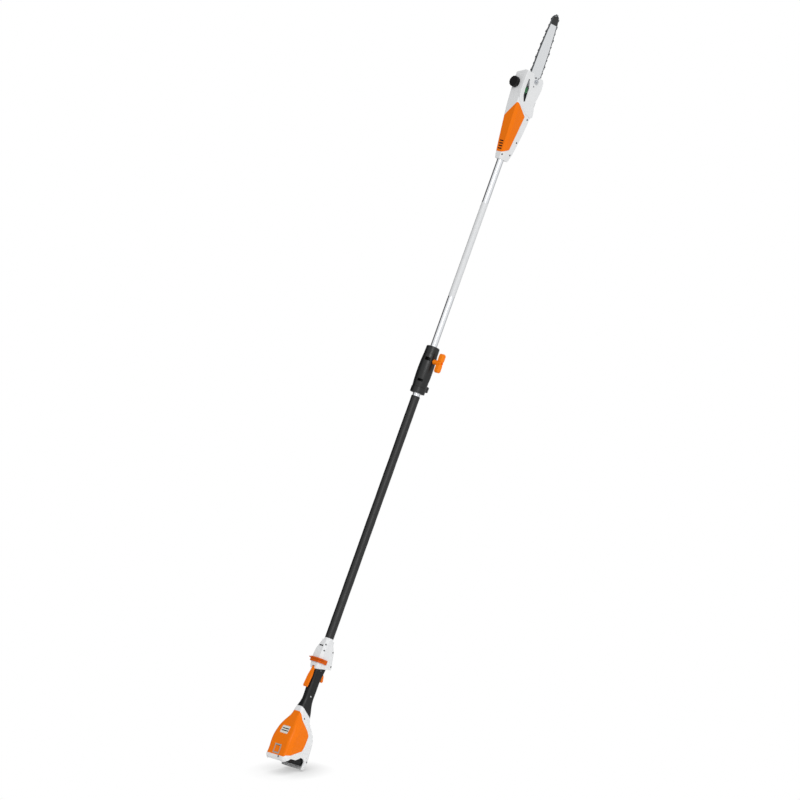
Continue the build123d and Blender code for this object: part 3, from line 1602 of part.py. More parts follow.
# Saw chain: one closed loop with a cutter and a depth gauge at every pitch
with BuildPart() as saw_chain:
    chain_edge = belt_outline(chain_loop, chain_depth)
    chain_wire = chain_edge.wires()[0]
    cutter_count = round(chain_wire.length / cutter_pitch)
    middle = chain_edge.center()
    with BuildSketch(Plane.YZ.offset(bar_plane - chain_width / 2)):
        add(chain_edge)
        for index in range(cutter_count):
            share = (index + 0.5) / cutter_count
            point = chain_wire.position_at(share)
            along = chain_wire.tangent_at(share)
            outward = point - middle
            hand = 1 if along.X * outward.Y - along.Y * outward.X < 0 else -1
            angle = degrees(atan2(along.Y, along.X))
            with Locations(Location((point.X, point.Y, 0), (0, 0, angle))):
                Polygon(
                    (-cutter_length / 2, -hand * cutter_height),
                    (-cutter_length / 2, hand * cutter_height * 0.6),
                    (-cutter_length / 4, hand * cutter_height * 0.7),
                    (-cutter_length / 8, hand * cutter_height * 0.1),
                    (cutter_length / 8, hand * cutter_height * 0.1),
                    (cutter_length / 5, hand * cutter_height * 0.7),
                    (cutter_length / 2, hand * cutter_height),
                    (cutter_length / 2, -hand * cutter_height),
                    align=None,
                )
        add(belt_outline(chain_loop, 0), mode=Mode.SUBTRACT)
    extrude(amount=chain_width)
export(saw_chain, "saw_chain")

# Bar stud, cover nut and chain tensioner screw
stud_end = sprocket_cover_face + cover_nut_thickness + 2
with BuildPart() as bar_stud:
    stud_root = near_face - near_wall
    add(rod_along_x([stud_place], bar_stud_radius, stud_root, stud_end))
    add(rod_along_x([stud_place], bar_stud_radius + 2, stud_root - 2, stud_root))
export(bar_stud, "bar_stud")

with BuildPart() as cover_nut:
    with BuildSketch(Plane.YZ.offset(sprocket_cover_face + snug)):
        with Locations(stud_place):
            RegularPolygon(cover_nut_flats / 2, 6, major_radius=False)
            Circle(bar_stud_radius + snug, mode=Mode.SUBTRACT)
    extrude(amount=cover_nut_thickness)
export(cover_nut, "cover_nut")

with BuildPart() as tensioner_screw:
    tension_end = sprocket_cover_face - sprocket_cover_plate
    add(rod_along_x([tension_place], tension_radius, near_face - near_wall - 2, tension_end))
    with Locations((tension_end, *tension_place)):
        Box(2 * screw_slot_depth, screw_slot_width, 4 * tension_radius, mode=Mode.SUBTRACT)
export(tensioner_screw, "tensioner_screw")

# Oil tank with its filler neck, seal and cap
cap_seat = -head_front - 0.4
cap_end = cap_seat - cap_height
neck_end = cap_end + 3 + seal_thickness
with BuildPart() as oil_tank:
    tank_low = (tank_left, tank_front, tank_bottom)
    tank_high = (tank_right, tank_rear, tank_top)
    add(box_between(tank_low, tank_high))
    fillet(oil_tank.edges().filter_by(Axis.Y), 4)
    with BuildSketch(Plane.XZ.offset(-tank_front)):
        with Locations(cap_place):
            Circle(neck_radius)
    extrude(amount=tank_front - neck_end)
    hollow_low = tuple(value + tank_wall for value in tank_low)
    hollow_high = tuple(value - tank_wall for value in tank_high)
    add(box_between(hollow_low, hollow_high), mode=Mode.SUBTRACT)
    with BuildSketch(Plane.XZ.offset(-tank_front - 2 * tank_wall)):
        with Locations(cap_place):
            Circle(neck_radius - neck_wall)
    extrude(amount=tank_front - neck_end + 3 * tank_wall, mode=Mode.SUBTRACT)
export(oil_tank, "oil_tank")

with BuildPart() as oil_cap_seal:
    with BuildSketch(Plane.XZ.offset(-neck_end + snug)):
        with Locations(cap_place):
            Circle(neck_radius)
            Circle(neck_radius - neck_wall, mode=Mode.SUBTRACT)
    extrude(amount=seal_thickness - 2 * snug)
export(oil_cap_seal, "oil_cap_seal")

with BuildPart() as oil_cap:
    with BuildSketch(Plane.XZ.offset(-cap_seat)):
        with Locations(cap_place):
            Circle(cap_radius)
            with PolarLocations(cap_radius + 1.5, cap_flutes):
                Circle(2.6, mode=Mode.SUBTRACT)
    extrude(amount=cap_height)
    fillet(oil_cap.faces().sort_by(Axis.Y)[0].edges(), 1)
    with BuildSketch(Plane.XZ.offset(-cap_seat)):
        with Locations(cap_place):
            Circle(neck_radius + slip)
    extrude(amount=cap_seat - neck_end + seal_thickness, mode=Mode.SUBTRACT)
export(oil_cap, "oil_cap")

# Dark grille behind the vent slots of the head cover
with BuildPart() as head_vent_grille:
    add(head_form(-head_cover_thickness - 2 * snug))
    add(head_vent_pocket, mode=Mode.INTERSECT)
    add(head_form(-head_cover_thickness - grille_thickness), mode=Mode.SUBTRACT)
export(head_vent_grille, "head_vent_grille")
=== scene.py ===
# %% [markdown]
# # A telescoping pole saw
# The tool is a battery housing, a control grip, a long tube in a foam sleeve, a clamp with a wing knob,
# a thinner tube that slides in it, and a saw head with bar and chain. The solids come packed from CAD
# and stay where they are. This lesson gives them their finishes, replaces the soft and the fine pieces
# by modelled ones, and sets up a plain studio.

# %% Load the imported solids
import json
import math

import bmesh
import bpy
from mathutils import Matrix, Vector

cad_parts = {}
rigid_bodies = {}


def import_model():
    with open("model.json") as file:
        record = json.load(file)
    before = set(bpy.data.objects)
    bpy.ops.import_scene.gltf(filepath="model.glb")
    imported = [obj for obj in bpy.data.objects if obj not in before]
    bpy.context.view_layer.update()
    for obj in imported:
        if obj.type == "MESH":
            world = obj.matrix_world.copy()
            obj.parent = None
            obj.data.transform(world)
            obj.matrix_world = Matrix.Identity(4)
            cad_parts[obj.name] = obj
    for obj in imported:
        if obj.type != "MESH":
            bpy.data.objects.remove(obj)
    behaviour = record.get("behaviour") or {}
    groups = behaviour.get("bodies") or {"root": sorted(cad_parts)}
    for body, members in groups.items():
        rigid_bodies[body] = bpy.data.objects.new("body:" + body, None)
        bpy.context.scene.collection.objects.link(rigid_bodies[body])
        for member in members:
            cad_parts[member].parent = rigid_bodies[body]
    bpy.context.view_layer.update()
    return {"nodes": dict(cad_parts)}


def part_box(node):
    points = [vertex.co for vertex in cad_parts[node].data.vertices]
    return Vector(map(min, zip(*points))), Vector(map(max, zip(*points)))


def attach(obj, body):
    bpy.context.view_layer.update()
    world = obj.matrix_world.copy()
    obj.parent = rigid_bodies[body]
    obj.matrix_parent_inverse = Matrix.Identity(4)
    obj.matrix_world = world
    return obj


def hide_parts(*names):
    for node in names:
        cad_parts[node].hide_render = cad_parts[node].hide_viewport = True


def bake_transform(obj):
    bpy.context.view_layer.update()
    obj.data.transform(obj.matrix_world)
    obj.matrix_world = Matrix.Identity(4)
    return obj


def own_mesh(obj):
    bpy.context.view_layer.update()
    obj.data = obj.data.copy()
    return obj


for leftover in list(bpy.data.objects):
    bpy.data.objects.remove(leftover)
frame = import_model()
nodes = frame["nodes"]
mm = 0.001

# %% [markdown]
# ## Helpers for finishes
# Colours are written as sRGB hex values, as a paint chart gives them, and Blender's shaders want linear
# ones, so one function turns them. Another adds a node with its settings and links. Each finish is then
# a short list of nodes round one Principled shader.


# %% Colour, node and material helpers
def linear(hex_colour):
    """Linear RGBA of an sRGB hex colour."""
    channels = [int(hex_colour[i : i + 2], 16) / 255 for i in (1, 3, 5)]
    return (*[c / 12.92 if c <= 0.04045 else ((c + 0.055) / 1.055) ** 2.4 for c in channels], 1)


def add_node(tree, kind, settings=(), links=()):
    """A node with its settings (input name or number, or property) and links (input, output socket)."""
    node = tree.nodes.new(kind)
    for name, value in dict(settings).items():
        if isinstance(name, int) or name in node.inputs:
            node.inputs[name].default_value = value
        else:
            setattr(node, name, value)
    for name, socket in links:
        tree.links.new(socket, node.inputs[name])
    return node


def new_finish(name, settings):
    """A material with one Principled shader; returns material, tree, shader and Object coordinates."""
    finish = bpy.data.materials.new(name)
    finish.use_nodes = True
    tree = finish.node_tree
    tree.nodes.clear()
    shader = add_node(tree, "ShaderNodeBsdfPrincipled", settings)
    add_node(tree, "ShaderNodeOutputMaterial", links=[("Surface", shader.outputs[0])])
    place = add_node(tree, "ShaderNodeTexCoord").outputs["Object"]
    return finish, tree, shader, place


def per_metre(size_mm):
    """Texture scale whose pattern repeats at about this size."""
    return 1000 / size_mm


# %% [markdown]
# ## Moulded plastics
# The casings are ABS and glass-filled nylon, moulded in spark-eroded tools, which leaves a fine grain,
# faint flow marks and a satin gloss. The real grain is about 0.3 mm and would not show at this distance,
# so it is drawn a little coarser. One function makes all of them, because only colour, gloss and grain
# differ.


# %% Moulded plastic finishes
def moulded_plastic(name, hex_colour, hex_worn, roughness, grain_mm, grain_height_mm, specular):
    """A satin plastic of two close colours, with a fine moulded grain."""
    finish, tree, shader, place = new_finish(
        name, {"Roughness": roughness, "IOR": 1.5, "Specular IOR Level": specular}
    )
    clouds = add_node(
        tree,
        "ShaderNodeTexNoise",
        {"Scale": per_metre(60), "Detail": 3.0, "Roughness": 0.6},
        [("Vector", place)],
    )
    tint = add_node(
        tree,
        "ShaderNodeMix",
        {"data_type": "RGBA", 6: linear(hex_colour), 7: linear(hex_worn)},
        [("Factor", clouds.outputs["Fac"])],
    )
    tree.links.new(tint.outputs[2], shader.inputs["Base Color"])
    gloss = add_node(
        tree,
        "ShaderNodeMapRange",
        {"From Min": 0.3, "From Max": 0.7, "To Min": roughness - 0.05, "To Max": roughness + 0.07},
        [("Value", clouds.outputs["Fac"])],
    )
    tree.links.new(gloss.outputs[0], shader.inputs["Roughness"])
    grain = add_node(
        tree, "ShaderNodeTexNoise", {"Scale": per_metre(grain_mm), "Detail": 2.0}, [("Vector", place)]
    )
    bump = add_node(
        tree,
        "ShaderNodeBump",
        {"Strength": 0.5, "Distance": grain_height_mm * mm},
        [("Height", grain.outputs["Fac"])],
    )
    tree.links.new(bump.outputs[0], shader.inputs["Normal"])
    return finish


white_abs = moulded_plastic("white_moulded_abs", "#EBECED", "#E2E3E4", 0.42, 1.2, 0.04, 0.4)
orange_abs = moulded_plastic("orange_moulded_abs", "#F87D00", "#F07300", 0.38, 1.2, 0.03, 0.16)
orange_knob_nylon = moulded_plastic("orange_knob_nylon", "#FF8808", "#F87E00", 0.42, 1.0, 0.04, 0.2)
# The retaining latch gets a darker copy of the orange: painted shade for the shaded band of the latch.
shaded_orange_latch_abs = moulded_plastic("shaded_orange_latch_abs", "#DD6200", "#C85400", 0.42, 1.0, 0.03, 0.16)
cream_abs = moulded_plastic("cream_vent_abs", "#E3E0D8", "#D6D3CA", 0.45, 1.2, 0.03, 0.4)
grey_abs = moulded_plastic("grey_moulded_abs", "#ADABA3", "#9C9A93", 0.45, 1.2, 0.03, 0.4)
black_nylon = moulded_plastic("black_glass_filled_nylon", "#0D0F10", "#0A0B0C", 0.36, 1.4, 0.06, 0.44)
cap_nylon = moulded_plastic("black_cap_nylon", "#111112", "#0C0C0D", 0.42, 1.2, 0.05, 0.25)
bay_nylon = moulded_plastic("dark_bay_nylon", "#18191B", "#111213", 0.5, 1.4, 0.05, 0.25)
tank_polyethylene = moulded_plastic("natural_tank_polyethylene", "#D9D4C4", "#CFC9B6", 0.38, 2.0, 0.05, 0.4)
lead_rubber = moulded_plastic("black_lead_rubber", "#1C1C1D", "#151516", 0.6, 0.8, 0.04, 0.3)
board_lacquer = moulded_plastic("green_board_lacquer", "#2E7A46", "#276B3D", 0.3, 1.5, 0.02, 0.5)
guard_green = moulded_plastic("green_moulded_guard", "#2F6E43", "#275F39", 0.42, 1.0, 0.03, 0.3)
print("moulded finishes", len(bpy.data.materials))

# %% [markdown]
# ## Rubber grip and foam sleeve
# The grip is a soft rubber skin with small raised dots against slipping. The sleeve is a closed-cell
# foam tube with a satin skin, slightly uneven, with small pores. Both use a Voronoi pattern, whose cells
# are round like dots or pores. They are nearly black, and most of what the eye sees is the soft
# reflection of the room along their middle.


# %% Soft finishes
def soft_finish(name, hex_dark, hex_light, roughness, cell_mm, cell_height_mm, specular):
    """A soft dark skin of two close colours, with round cells."""
    finish, tree, shader, place = new_finish(name, {"Roughness": roughness, "Specular IOR Level": specular})
    cells = add_node(tree, "ShaderNodeTexVoronoi", {"Scale": per_metre(cell_mm)}, [("Vector", place)])
    blotch = add_node(
        tree, "ShaderNodeTexNoise", {"Scale": per_metre(35), "Detail": 4.0}, [("Vector", place)]
    )
    shade = add_node(
        tree,
        "ShaderNodeMix",
        {"data_type": "RGBA", 6: linear(hex_dark), 7: linear(hex_light)},
        [("Factor", blotch.outputs["Fac"])],
    )
    tree.links.new(shade.outputs[2], shader.inputs["Base Color"])
    bump = add_node(
        tree,
        "ShaderNodeBump",
        {"Strength": 0.7, "Distance": cell_height_mm * mm},
        [("Height", cells.outputs["Distance"])],
    )
    tree.links.new(bump.outputs[0], shader.inputs["Normal"])
    return finish


grip_rubber = soft_finish("soft_grip_rubber", "#0A0C0D", "#101213", 0.42, 2.2, 0.12, 0.32)
sleeve_foam = soft_finish("closed_cell_sleeve_foam", "#0C0C0D", "#131314", 0.4, 1.6, 0.2, 0.46)
print("soft finishes made")

# %% [markdown]
# ## Metals
# The tubes are drawn aluminium: bright, with faint lines along the tube from the die. The bar is ground
# steel with lines along its length and a dark painted nose. Screws and springs are zinc plated, and the
# chain is blued. A metal is told by its reflections, so each has a high Metallic value, and stretched
# noise draws the lines.


# %% Metal finishes
def drawn_metal(name, hex_colour, roughness, line_mm, line_stretch, line_height_mm):
    """A metal with fine lines, stretched along the pole by the given factor."""
    finish, tree, shader, place = new_finish(
        name, {"Base Color": linear(hex_colour), "Metallic": 1.0, "Roughness": roughness}
    )
    across = per_metre(line_mm)
    stretch = add_node(
        tree, "ShaderNodeMapping", {"Scale": (across, across, across / line_stretch)}, [("Vector", place)]
    )
    lines = add_node(
        tree, "ShaderNodeTexNoise", {"Scale": 1.0, "Detail": 3.0}, [("Vector", stretch.outputs[0])]
    )
    gloss = add_node(
        tree,
        "ShaderNodeMapRange",
        {"From Min": 0.3, "From Max": 0.7, "To Min": 0.8 * roughness, "To Max": 1.25 * roughness},
        [("Value", lines.outputs["Fac"])],
    )
    tree.links.new(gloss.outputs[0], shader.inputs["Roughness"])
    bump = add_node(
        tree,
        "ShaderNodeBump",
        {"Strength": 0.4, "Distance": line_height_mm * mm},
        [("Height", lines.outputs["Fac"])],
    )
    tree.links.new(bump.outputs[0], shader.inputs["Normal"])
    return finish


tube_aluminium = drawn_metal("drawn_tube_aluminium", "#E3E5E8", 0.22, 1.0, 300, 0.003)
zinc_steel = drawn_metal("zinc_plated_steel", "#B9BCC0", 0.32, 0.8, 1, 0.02)
spring_steel = drawn_metal("bright_spring_steel", "#C6C8CB", 0.28, 0.6, 8, 0.01)
blued_steel = drawn_metal("blued_chain_steel", "#6A6D70", 0.38, 0.8, 2, 0.03)
bar_steel = drawn_metal("ground_bar_steel", "#DFE1E3", 0.30, 0.9, 40, 0.015)
contact_brass = drawn_metal("bright_contact_brass", "#D9B968", 0.25, 0.6, 6, 0.01)
print("metal finishes made")

# %% [markdown]
# ## Finishes that change along a piece
# Some pieces carry two finishes: the bar has a dark painted nose, and the screws in the white casings are
# near black, partly as dark screws and partly as painted shade of their deep wells, while those in the grip
# are bright zinc. Each is a mask on the height in the CAD frame, so that one material serves the whole
# piece. The sleeve on the upper tube is a blank film under a clear coat.


# %% Mask helper
def height_mask(finish, start, end):
    """Tree and shader of a finish, and a mask that goes from 0 at one height to 1 at another."""
    tree = finish.node_tree
    shader = next(n for n in tree.nodes if n.type == "BSDF_PRINCIPLED")
    place = next(n for n in tree.nodes if n.type == "TEX_COORD").outputs["Object"]
    height = add_node(tree, "ShaderNodeSeparateXYZ", links=[("Vector", place)])
    mask = add_node(
        tree, "ShaderNodeMapRange", {"From Min": start, "From Max": end}, [("Value", height.outputs["Z"])]
    )
    return tree, shader, mask.outputs[0]


# %% Bar nose paint
nose_paint_start = 2606 * mm
paint_blend = 1.5 * mm
bar_tree, bar_shader, on_nose = height_mask(bar_steel, nose_paint_start, nose_paint_start + paint_blend)
nose_colour = add_node(
    bar_tree,
    "ShaderNodeMix",
    {"data_type": "RGBA", 6: linear("#DFE1E3"), 7: linear("#1B1B1C")},
    [("Factor", on_nose)],
)
nose_metal = add_node(bar_tree, "ShaderNodeMapRange", {"To Min": 0.85, "To Max": 0.1}, [("Value", on_nose)])
bar_tree.links.new(nose_colour.outputs[2], bar_shader.inputs["Base Color"])
bar_tree.links.new(nose_metal.outputs[0], bar_shader.inputs["Metallic"])
print("bar nose painted")

# %% Screw plating and painted well shade
grip_low, grip_high = -105 * mm, 95 * mm
# Outside the grip the screws are near black: partly dark screws, partly painted shade of the deep wells
# they sit in.
screw_steel_and_well_shade = drawn_metal("well_shaded_screw_plating", "#161617", 0.4, 0.8, 1, 0.02)
screw_tree, screw_shader, above_base = height_mask(screw_steel_and_well_shade, grip_low, grip_low + mm)
screw_tree, screw_shader, below_box = height_mask(screw_steel_and_well_shade, grip_high, grip_high - mm)
in_grip = add_node(
    screw_tree, "ShaderNodeMath", {"operation": "MULTIPLY"}, [(0, above_base), (1, below_box)]
)
screw_and_well_shade_colour = add_node(
    screw_tree,
    "ShaderNodeMix",
    {"data_type": "RGBA", 6: linear("#161617"), 7: linear("#E4E6E8")},
    [("Factor", in_grip.outputs[0])],
)
screw_tree.links.new(screw_and_well_shade_colour.outputs[2], screw_shader.inputs["Base Color"])
print("screws plated")

# %% Blank foil
blank_foil, foil_tree, foil_shader, foil_place = new_finish(
    "blank_clear_coated_foil", {"Roughness": 0.3, "Coat Weight": 0.4, "Coat Roughness": 0.08}
)
foil_ripple = add_node(
    foil_tree, "ShaderNodeTexNoise", {"Scale": per_metre(12), "Detail": 2.0}, [("Vector", foil_place)]
)
foil_tint = add_node(
    foil_tree,
    "ShaderNodeMix",
    {"data_type": "RGBA", 6: linear("#E2E3E4"), 7: linear("#D4D6D8")},
    [("Factor", foil_ripple.outputs["Fac"])],
)
foil_tree.links.new(foil_tint.outputs[2], foil_shader.inputs["Base Color"])
print("foil made")

# %% [markdown]
# ## Finishes onto the solids
# Every solid keeps its CAD mesh and gets one finish in its material slot. A table by finish is easier to
# check against the photograph than sixty separate lines.

# %% Assign the finishes
finish_table = {
    white_abs: "base_shell_right base_shell_left control_box_right control_box_left head_shell_right "
    "head_shell_left sprocket_cover",
    orange_abs: "base_cover head_cover battery_latch_front battery_latch_rear trigger lockout_lever",
    shaded_orange_latch_abs: "retaining_latch",
    orange_knob_nylon: "wing_knob",
    cream_abs: "base_vent_grille",
    grey_abs: "latch_bezel",
    black_nylon: "clamp_shell_right clamp_shell_left clamp_pad guide_collar slide_plug switch_module",
    cap_nylon: "oil_cap head_vent_grille",
    bay_nylon: "battery_bay_liner contact_block ejector_plate",
    grip_rubber: "grip_shell_right grip_shell_left",
    sleeve_foam: "foam_sleeve",
    lead_rubber: "oil_cap_seal coiled_lead",
    tube_aluminium: "lower_tube upper_tube",
    blank_foil: "label_sleeve",
    spring_steel: "ejector_spring lever_springs latch_spring",
    screw_steel_and_well_shade: "body_screws head_screws",
    zinc_steel: "latch_pins lever_pins clamp_nut clamp_stud motor_can motor_rotor "
    "mount_plate drive_gear sprocket_shaft shaft_bearings bar_stud cover_nut tensioner_screw",
    bar_steel: "guide_bar",
    blued_steel: "saw_chain chain_sprocket",
    contact_brass: "contact_blades",
    board_lacquer: "controller_board",
    tank_polyethylene: "oil_tank",
}
for finish, names in finish_table.items():
    for name in names.split():
        nodes[name].data.materials.clear()
        nodes[name].data.materials.append(finish)
unfinished = set(nodes) - {n for names in finish_table.values() for n in names.split()}
print("solids without a finish:", sorted(unfinished))


# %% [markdown]
# ## New pieces
# A new piece is a mesh in the CAD frame, in metres, with its object at the origin. One helper makes the
# object from points and faces, and another turns a profile round the axis of the pole.


# %% Piece helpers
def mesh_piece(name, points, faces, finish, smooth=True):
    """An object at the origin from points in metres and faces, with one finish."""
    mesh = bpy.data.meshes.new(name)
    mesh.from_pydata(points, [], faces)
    mesh.materials.append(finish)
    for polygon in mesh.polygons:
        polygon.use_smooth = smooth
    mesh.update()
    piece = bpy.data.objects.new(name, mesh)
    bpy.context.scene.collection.objects.link(piece)
    return piece


def lathe(profile, segments):
    """Points and faces of a closed profile of (radius, z) turned round the pole axis, in metres."""
    points, faces = [], []
    for radius, z in profile:
        for step in range(segments):
            angle = 2 * math.pi * step / segments
            points.append((radius * math.cos(angle), radius * math.sin(angle), z))
    rings = len(profile)
    for ring in range(rings):
        low, high = ring * segments, (ring + 1) % rings * segments
        for step in range(segments):
            after = (step + 1) % segments
            faces.append((low + step, low + after, high + after, high + step))
    return points, faces


# %% [markdown]
# ## Foam sleeve
# The sleeve is a foam tube pushed over the lower tube. A real one isn't quite even: it is a little
# thicker and thinner along its length and its ends are rounded over. It is lathed from a profile whose
# radius wanders by fractions of a millimetre.

# %% Foam sleeve
foam_low, foam_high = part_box("foam_sleeve")
foam_outer = foam_high.x
foam_inner = 14.02 * mm
foam_edge = 1.6 * mm
foam_wear = 0.22 * mm
foam_waves = ((0.10 * mm, 31, 0), (0.07 * mm, 83, 1), (0.05 * mm, 157, 2))
foam_rings, foam_segments, end_steps = 160, 48, 5
foam_end = []
for end_step in range(1, end_steps):
    turn = end_step / end_steps * math.pi / 2
    foam_end.append((foam_outer - foam_edge * (1 - math.sin(turn)), foam_edge * (1 - math.cos(turn))))
foam_profile = [(foam_inner, foam_high.z), (foam_inner, foam_low.z)]
foam_profile += [(radius, foam_low.z + inwards) for radius, inwards in foam_end]
for ring in range(foam_rings + 1):
    share = ring / foam_rings
    wander = sum(size * math.sin(pace * share + shift) for size, pace, shift in foam_waves)
    z = foam_low.z + foam_edge + share * (foam_high.z - foam_low.z - 2 * foam_edge)
    foam_profile.append((foam_outer - foam_wear + wander, z))
foam_profile += [(radius, foam_high.z - inwards) for radius, inwards in reversed(foam_end)]
foam_points, foam_faces = lathe(foam_profile, foam_segments)
foam_piece = mesh_piece("foam_tube", foam_points, foam_faces, sleeve_foam)
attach(foam_piece, "handle")
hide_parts("foam_sleeve")
print("foam sleeve faces", len(foam_faces))

# %% [markdown]
# ## Coils: the ejector spring and the lead inside the tubes
# The spring and the curly lead are the same form at different sizes: a round section swept along a helix.
# A node tree with named inputs makes both, which is shorter than modelling each, and its result is turned
# into a plain mesh because the export doesn't keep modifiers of this kind.


# %% Node tree helpers
def new_tree(name, inputs):
    """A geometry node tree with named inputs; returns tree, its inputs node and its output socket."""
    tree = bpy.data.node_groups.new(name, "GeometryNodeTree")
    for label, kind in inputs:
        tree.interface.new_socket(label, in_out="INPUT", socket_type=kind)
    tree.interface.new_socket("Geometry", in_out="OUTPUT", socket_type="NodeSocketGeometry")
    given = add_node(tree, "NodeGroupInput")
    result = add_node(tree, "NodeGroupOutput")
    return tree, given.outputs, result.inputs[0]


def close_tree(tree, geometry, given, result):
    """Ends a tree in Realize Instances and Set Material."""
    real = add_node(tree, "GeometryNodeRealizeInstances", links=[("Geometry", geometry)])
    painted = add_node(
        tree,
        "GeometryNodeSetMaterial",
        links=[("Geometry", real.outputs[0]), ("Material", given["Material"])],
    )
    tree.links.new(painted.outputs[0], result)


def grown_piece(name, tree, values, points=None):
    """Runs a tree with its named values, on points if there are any; returns a plain mesh object."""
    holder = bpy.data.objects.new(name + "_holder", points or bpy.data.meshes.new(name + "_holder"))
    bpy.context.scene.collection.objects.link(holder)
    modifier = holder.modifiers.new("grow", "NODES")
    modifier.node_group = tree
    for socket in tree.interface.items_tree:
        if socket.in_out == "INPUT" and socket.name in values:
            modifier[socket.identifier] = values[socket.name]
    evaluated = holder.evaluated_get(bpy.context.evaluated_depsgraph_get())
    mesh = bpy.data.meshes.new_from_object(evaluated)
    mesh.name = name
    bpy.data.objects.remove(holder)
    piece = bpy.data.objects.new(name, mesh)
    bpy.context.scene.collection.objects.link(piece)
    print(name, "faces", len(mesh.polygons))
    return piece


# %% Coil tree
coil_tree, coil_given, coil_result = new_tree(
    "coil",
    [
        ("Place", "NodeSocketVector"),
        ("Height", "NodeSocketFloat"),
        ("Coil Radius", "NodeSocketFloat"),
        ("Wire Radius", "NodeSocketFloat"),
        ("Turns", "NodeSocketFloat"),
        ("Steps", "NodeSocketInt"),
        ("Material", "NodeSocketMaterial"),
    ],
)
helix = add_node(
    coil_tree,
    "GeometryNodeCurveSpiral",
    links=[
        ("Resolution", coil_given["Steps"]),
        ("Rotations", coil_given["Turns"]),
        ("Start Radius", coil_given["Coil Radius"]),
        ("End Radius", coil_given["Coil Radius"]),
        ("Height", coil_given["Height"]),
    ],
)
wire = add_node(
    coil_tree,
    "GeometryNodeCurvePrimitiveCircle",
    {"Resolution": 8},
    [("Radius", coil_given["Wire Radius"])],
)
swept = add_node(
    coil_tree,
    "GeometryNodeCurveToMesh",
    {"Fill Caps": True},
    [("Curve", helix.outputs[0]), ("Profile Curve", wire.outputs[0])],
)
moved = add_node(
    coil_tree,
    "GeometryNodeTransform",
    links=[("Geometry", swept.outputs[0]), ("Translation", coil_given["Place"])],
)
close_tree(coil_tree, moved.outputs[0], coil_given, coil_result)


def coil_between(name, node, wire_radius, turns, steps, finish):
    """A coil on an upright axis that fills the box of its CAD solid."""
    low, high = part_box(node)
    middle = (low + high) / 2
    coil_radius = (high.x - low.x) / 2 - wire_radius
    return grown_piece(
        name,
        coil_tree,
        {
            "Place": (middle.x, middle.y, low.z + wire_radius),
            "Height": high.z - low.z - 2 * wire_radius,
            "Coil Radius": coil_radius,
            "Wire Radius": wire_radius,
            "Turns": turns,
            "Steps": steps,
            "Material": finish,
        },
    )


# %% Ejector spring and lead
spring_wire, lead_wire = 0.6 * mm, 1.5 * mm
ejector_coil = coil_between("ejector_coil_spring", "ejector_spring", spring_wire, 5.0, 20, spring_steel)
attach(ejector_coil, "handle")
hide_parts("ejector_spring")
ejector_low, ejector_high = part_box("ejector_spring")
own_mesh(ejector_coil)

lead_coil = coil_between("curly_lead", "coiled_lead", lead_wire, 340.0, 12, lead_rubber)
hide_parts("coiled_lead")
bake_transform(lead_coil)
for piece in (ejector_coil, lead_coil):
    for polygon in piece.data.polygons:
        polygon.use_smooth = True

# %% [markdown]
# ## Saw chain
# A saw chain is pairs of side plates and single middle plates on rivets. At every second pair one plate
# is a cutter with a top plate and a depth gauge, left and right in turn. The loop runs round the
# sprocket, along the bar and round its nose. The links are modelled once, and a node tree sets them
# along the loop, because a hundred links in one path is what instancing is for.

# %% Loop that the chain follows
drive_y = 2.0
bar_plane = 21.0
chain_half = 2.4
nominal_pitch = 6.35 * mm
plate_spacing, cutter_spacing = 2, 8
loop_circles = [
    (2325.0, 16.3),
    (2376.0, 26.8),
    (2500.0, 24.6),
    (2570.0, 19.8),
    (2627.0, 13.8),
]


def loop_points(circles, grow, arc_steps):
    """Points in metres of a belt round circles on one upright line, clockwise seen from the bar's side."""
    tilts = [
        math.asin((low[1] - high[1]) / (high[0] - low[0])) for low, high in zip(circles, circles[1:])
    ]
    turns = [-math.pi / 2, *tilts, math.pi / 2]
    flank = []
    for (z, radius), turn_in, turn_out in zip(circles, turns, turns[1:]):
        for step in range(arc_steps + 1):
            turn = turn_in + (turn_out - turn_in) * step / arc_steps
            flank.append(((radius + grow) * math.cos(turn), z + (radius + grow) * math.sin(turn)))
    rear = [(drive_y + y, z) for y, z in reversed(flank)]
    front = [(drive_y - y, z) for y, z in flank]
    return [(bar_plane * mm, y * mm, z * mm) for y, z in rear[:-1] + front[:-1]]


chain_path = loop_points(loop_circles, chain_half, 10)
path_curve = bpy.data.curves.new("chain_loop", "CURVE")
path_curve.dimensions = "3D"
path_spline = path_curve.splines.new("POLY")
path_spline.points.add(len(chain_path) - 1)
for point, place in zip(path_spline.points, chain_path):
    point.co = (*place, 1)
path_spline.use_cyclic_u = True
chain_loop = bpy.data.objects.new("chain_loop", path_curve)
bpy.context.scene.collection.objects.link(chain_loop)
loop_length = sum(
    (Vector(a) - Vector(b)).length for a, b in zip(chain_path, chain_path[1:] + chain_path[:1])
)
link_count = cutter_spacing * round(loop_length / (cutter_spacing * nominal_pitch))
link_pitch = loop_length / link_count
print("chain loop", round(loop_length, 4), "m, links", link_count, "pitch", round(link_pitch, 6), "m")


# %% Link shapes
def plates(name, prisms):
    """Mesh object from prisms of (outline in mm, near, far): X along the chain, Y outwards, Z across."""
    points, faces = [], []
    for outline, near, far in prisms:
        start, count = len(points), len(outline)
        for z in (near, far):
            points += [(x * mm, y * mm, z * mm) for x, y in outline]
        faces.append(tuple(reversed(range(start, start + count))))
        faces.append(tuple(range(start + count, start + 2 * count)))
        for step in range(count):
            after = (step + 1) % count
            faces.append((start + step, start + after, start + count + after, start + count + step))
    return mesh_piece(name, points, faces, blued_steel, smooth=False)


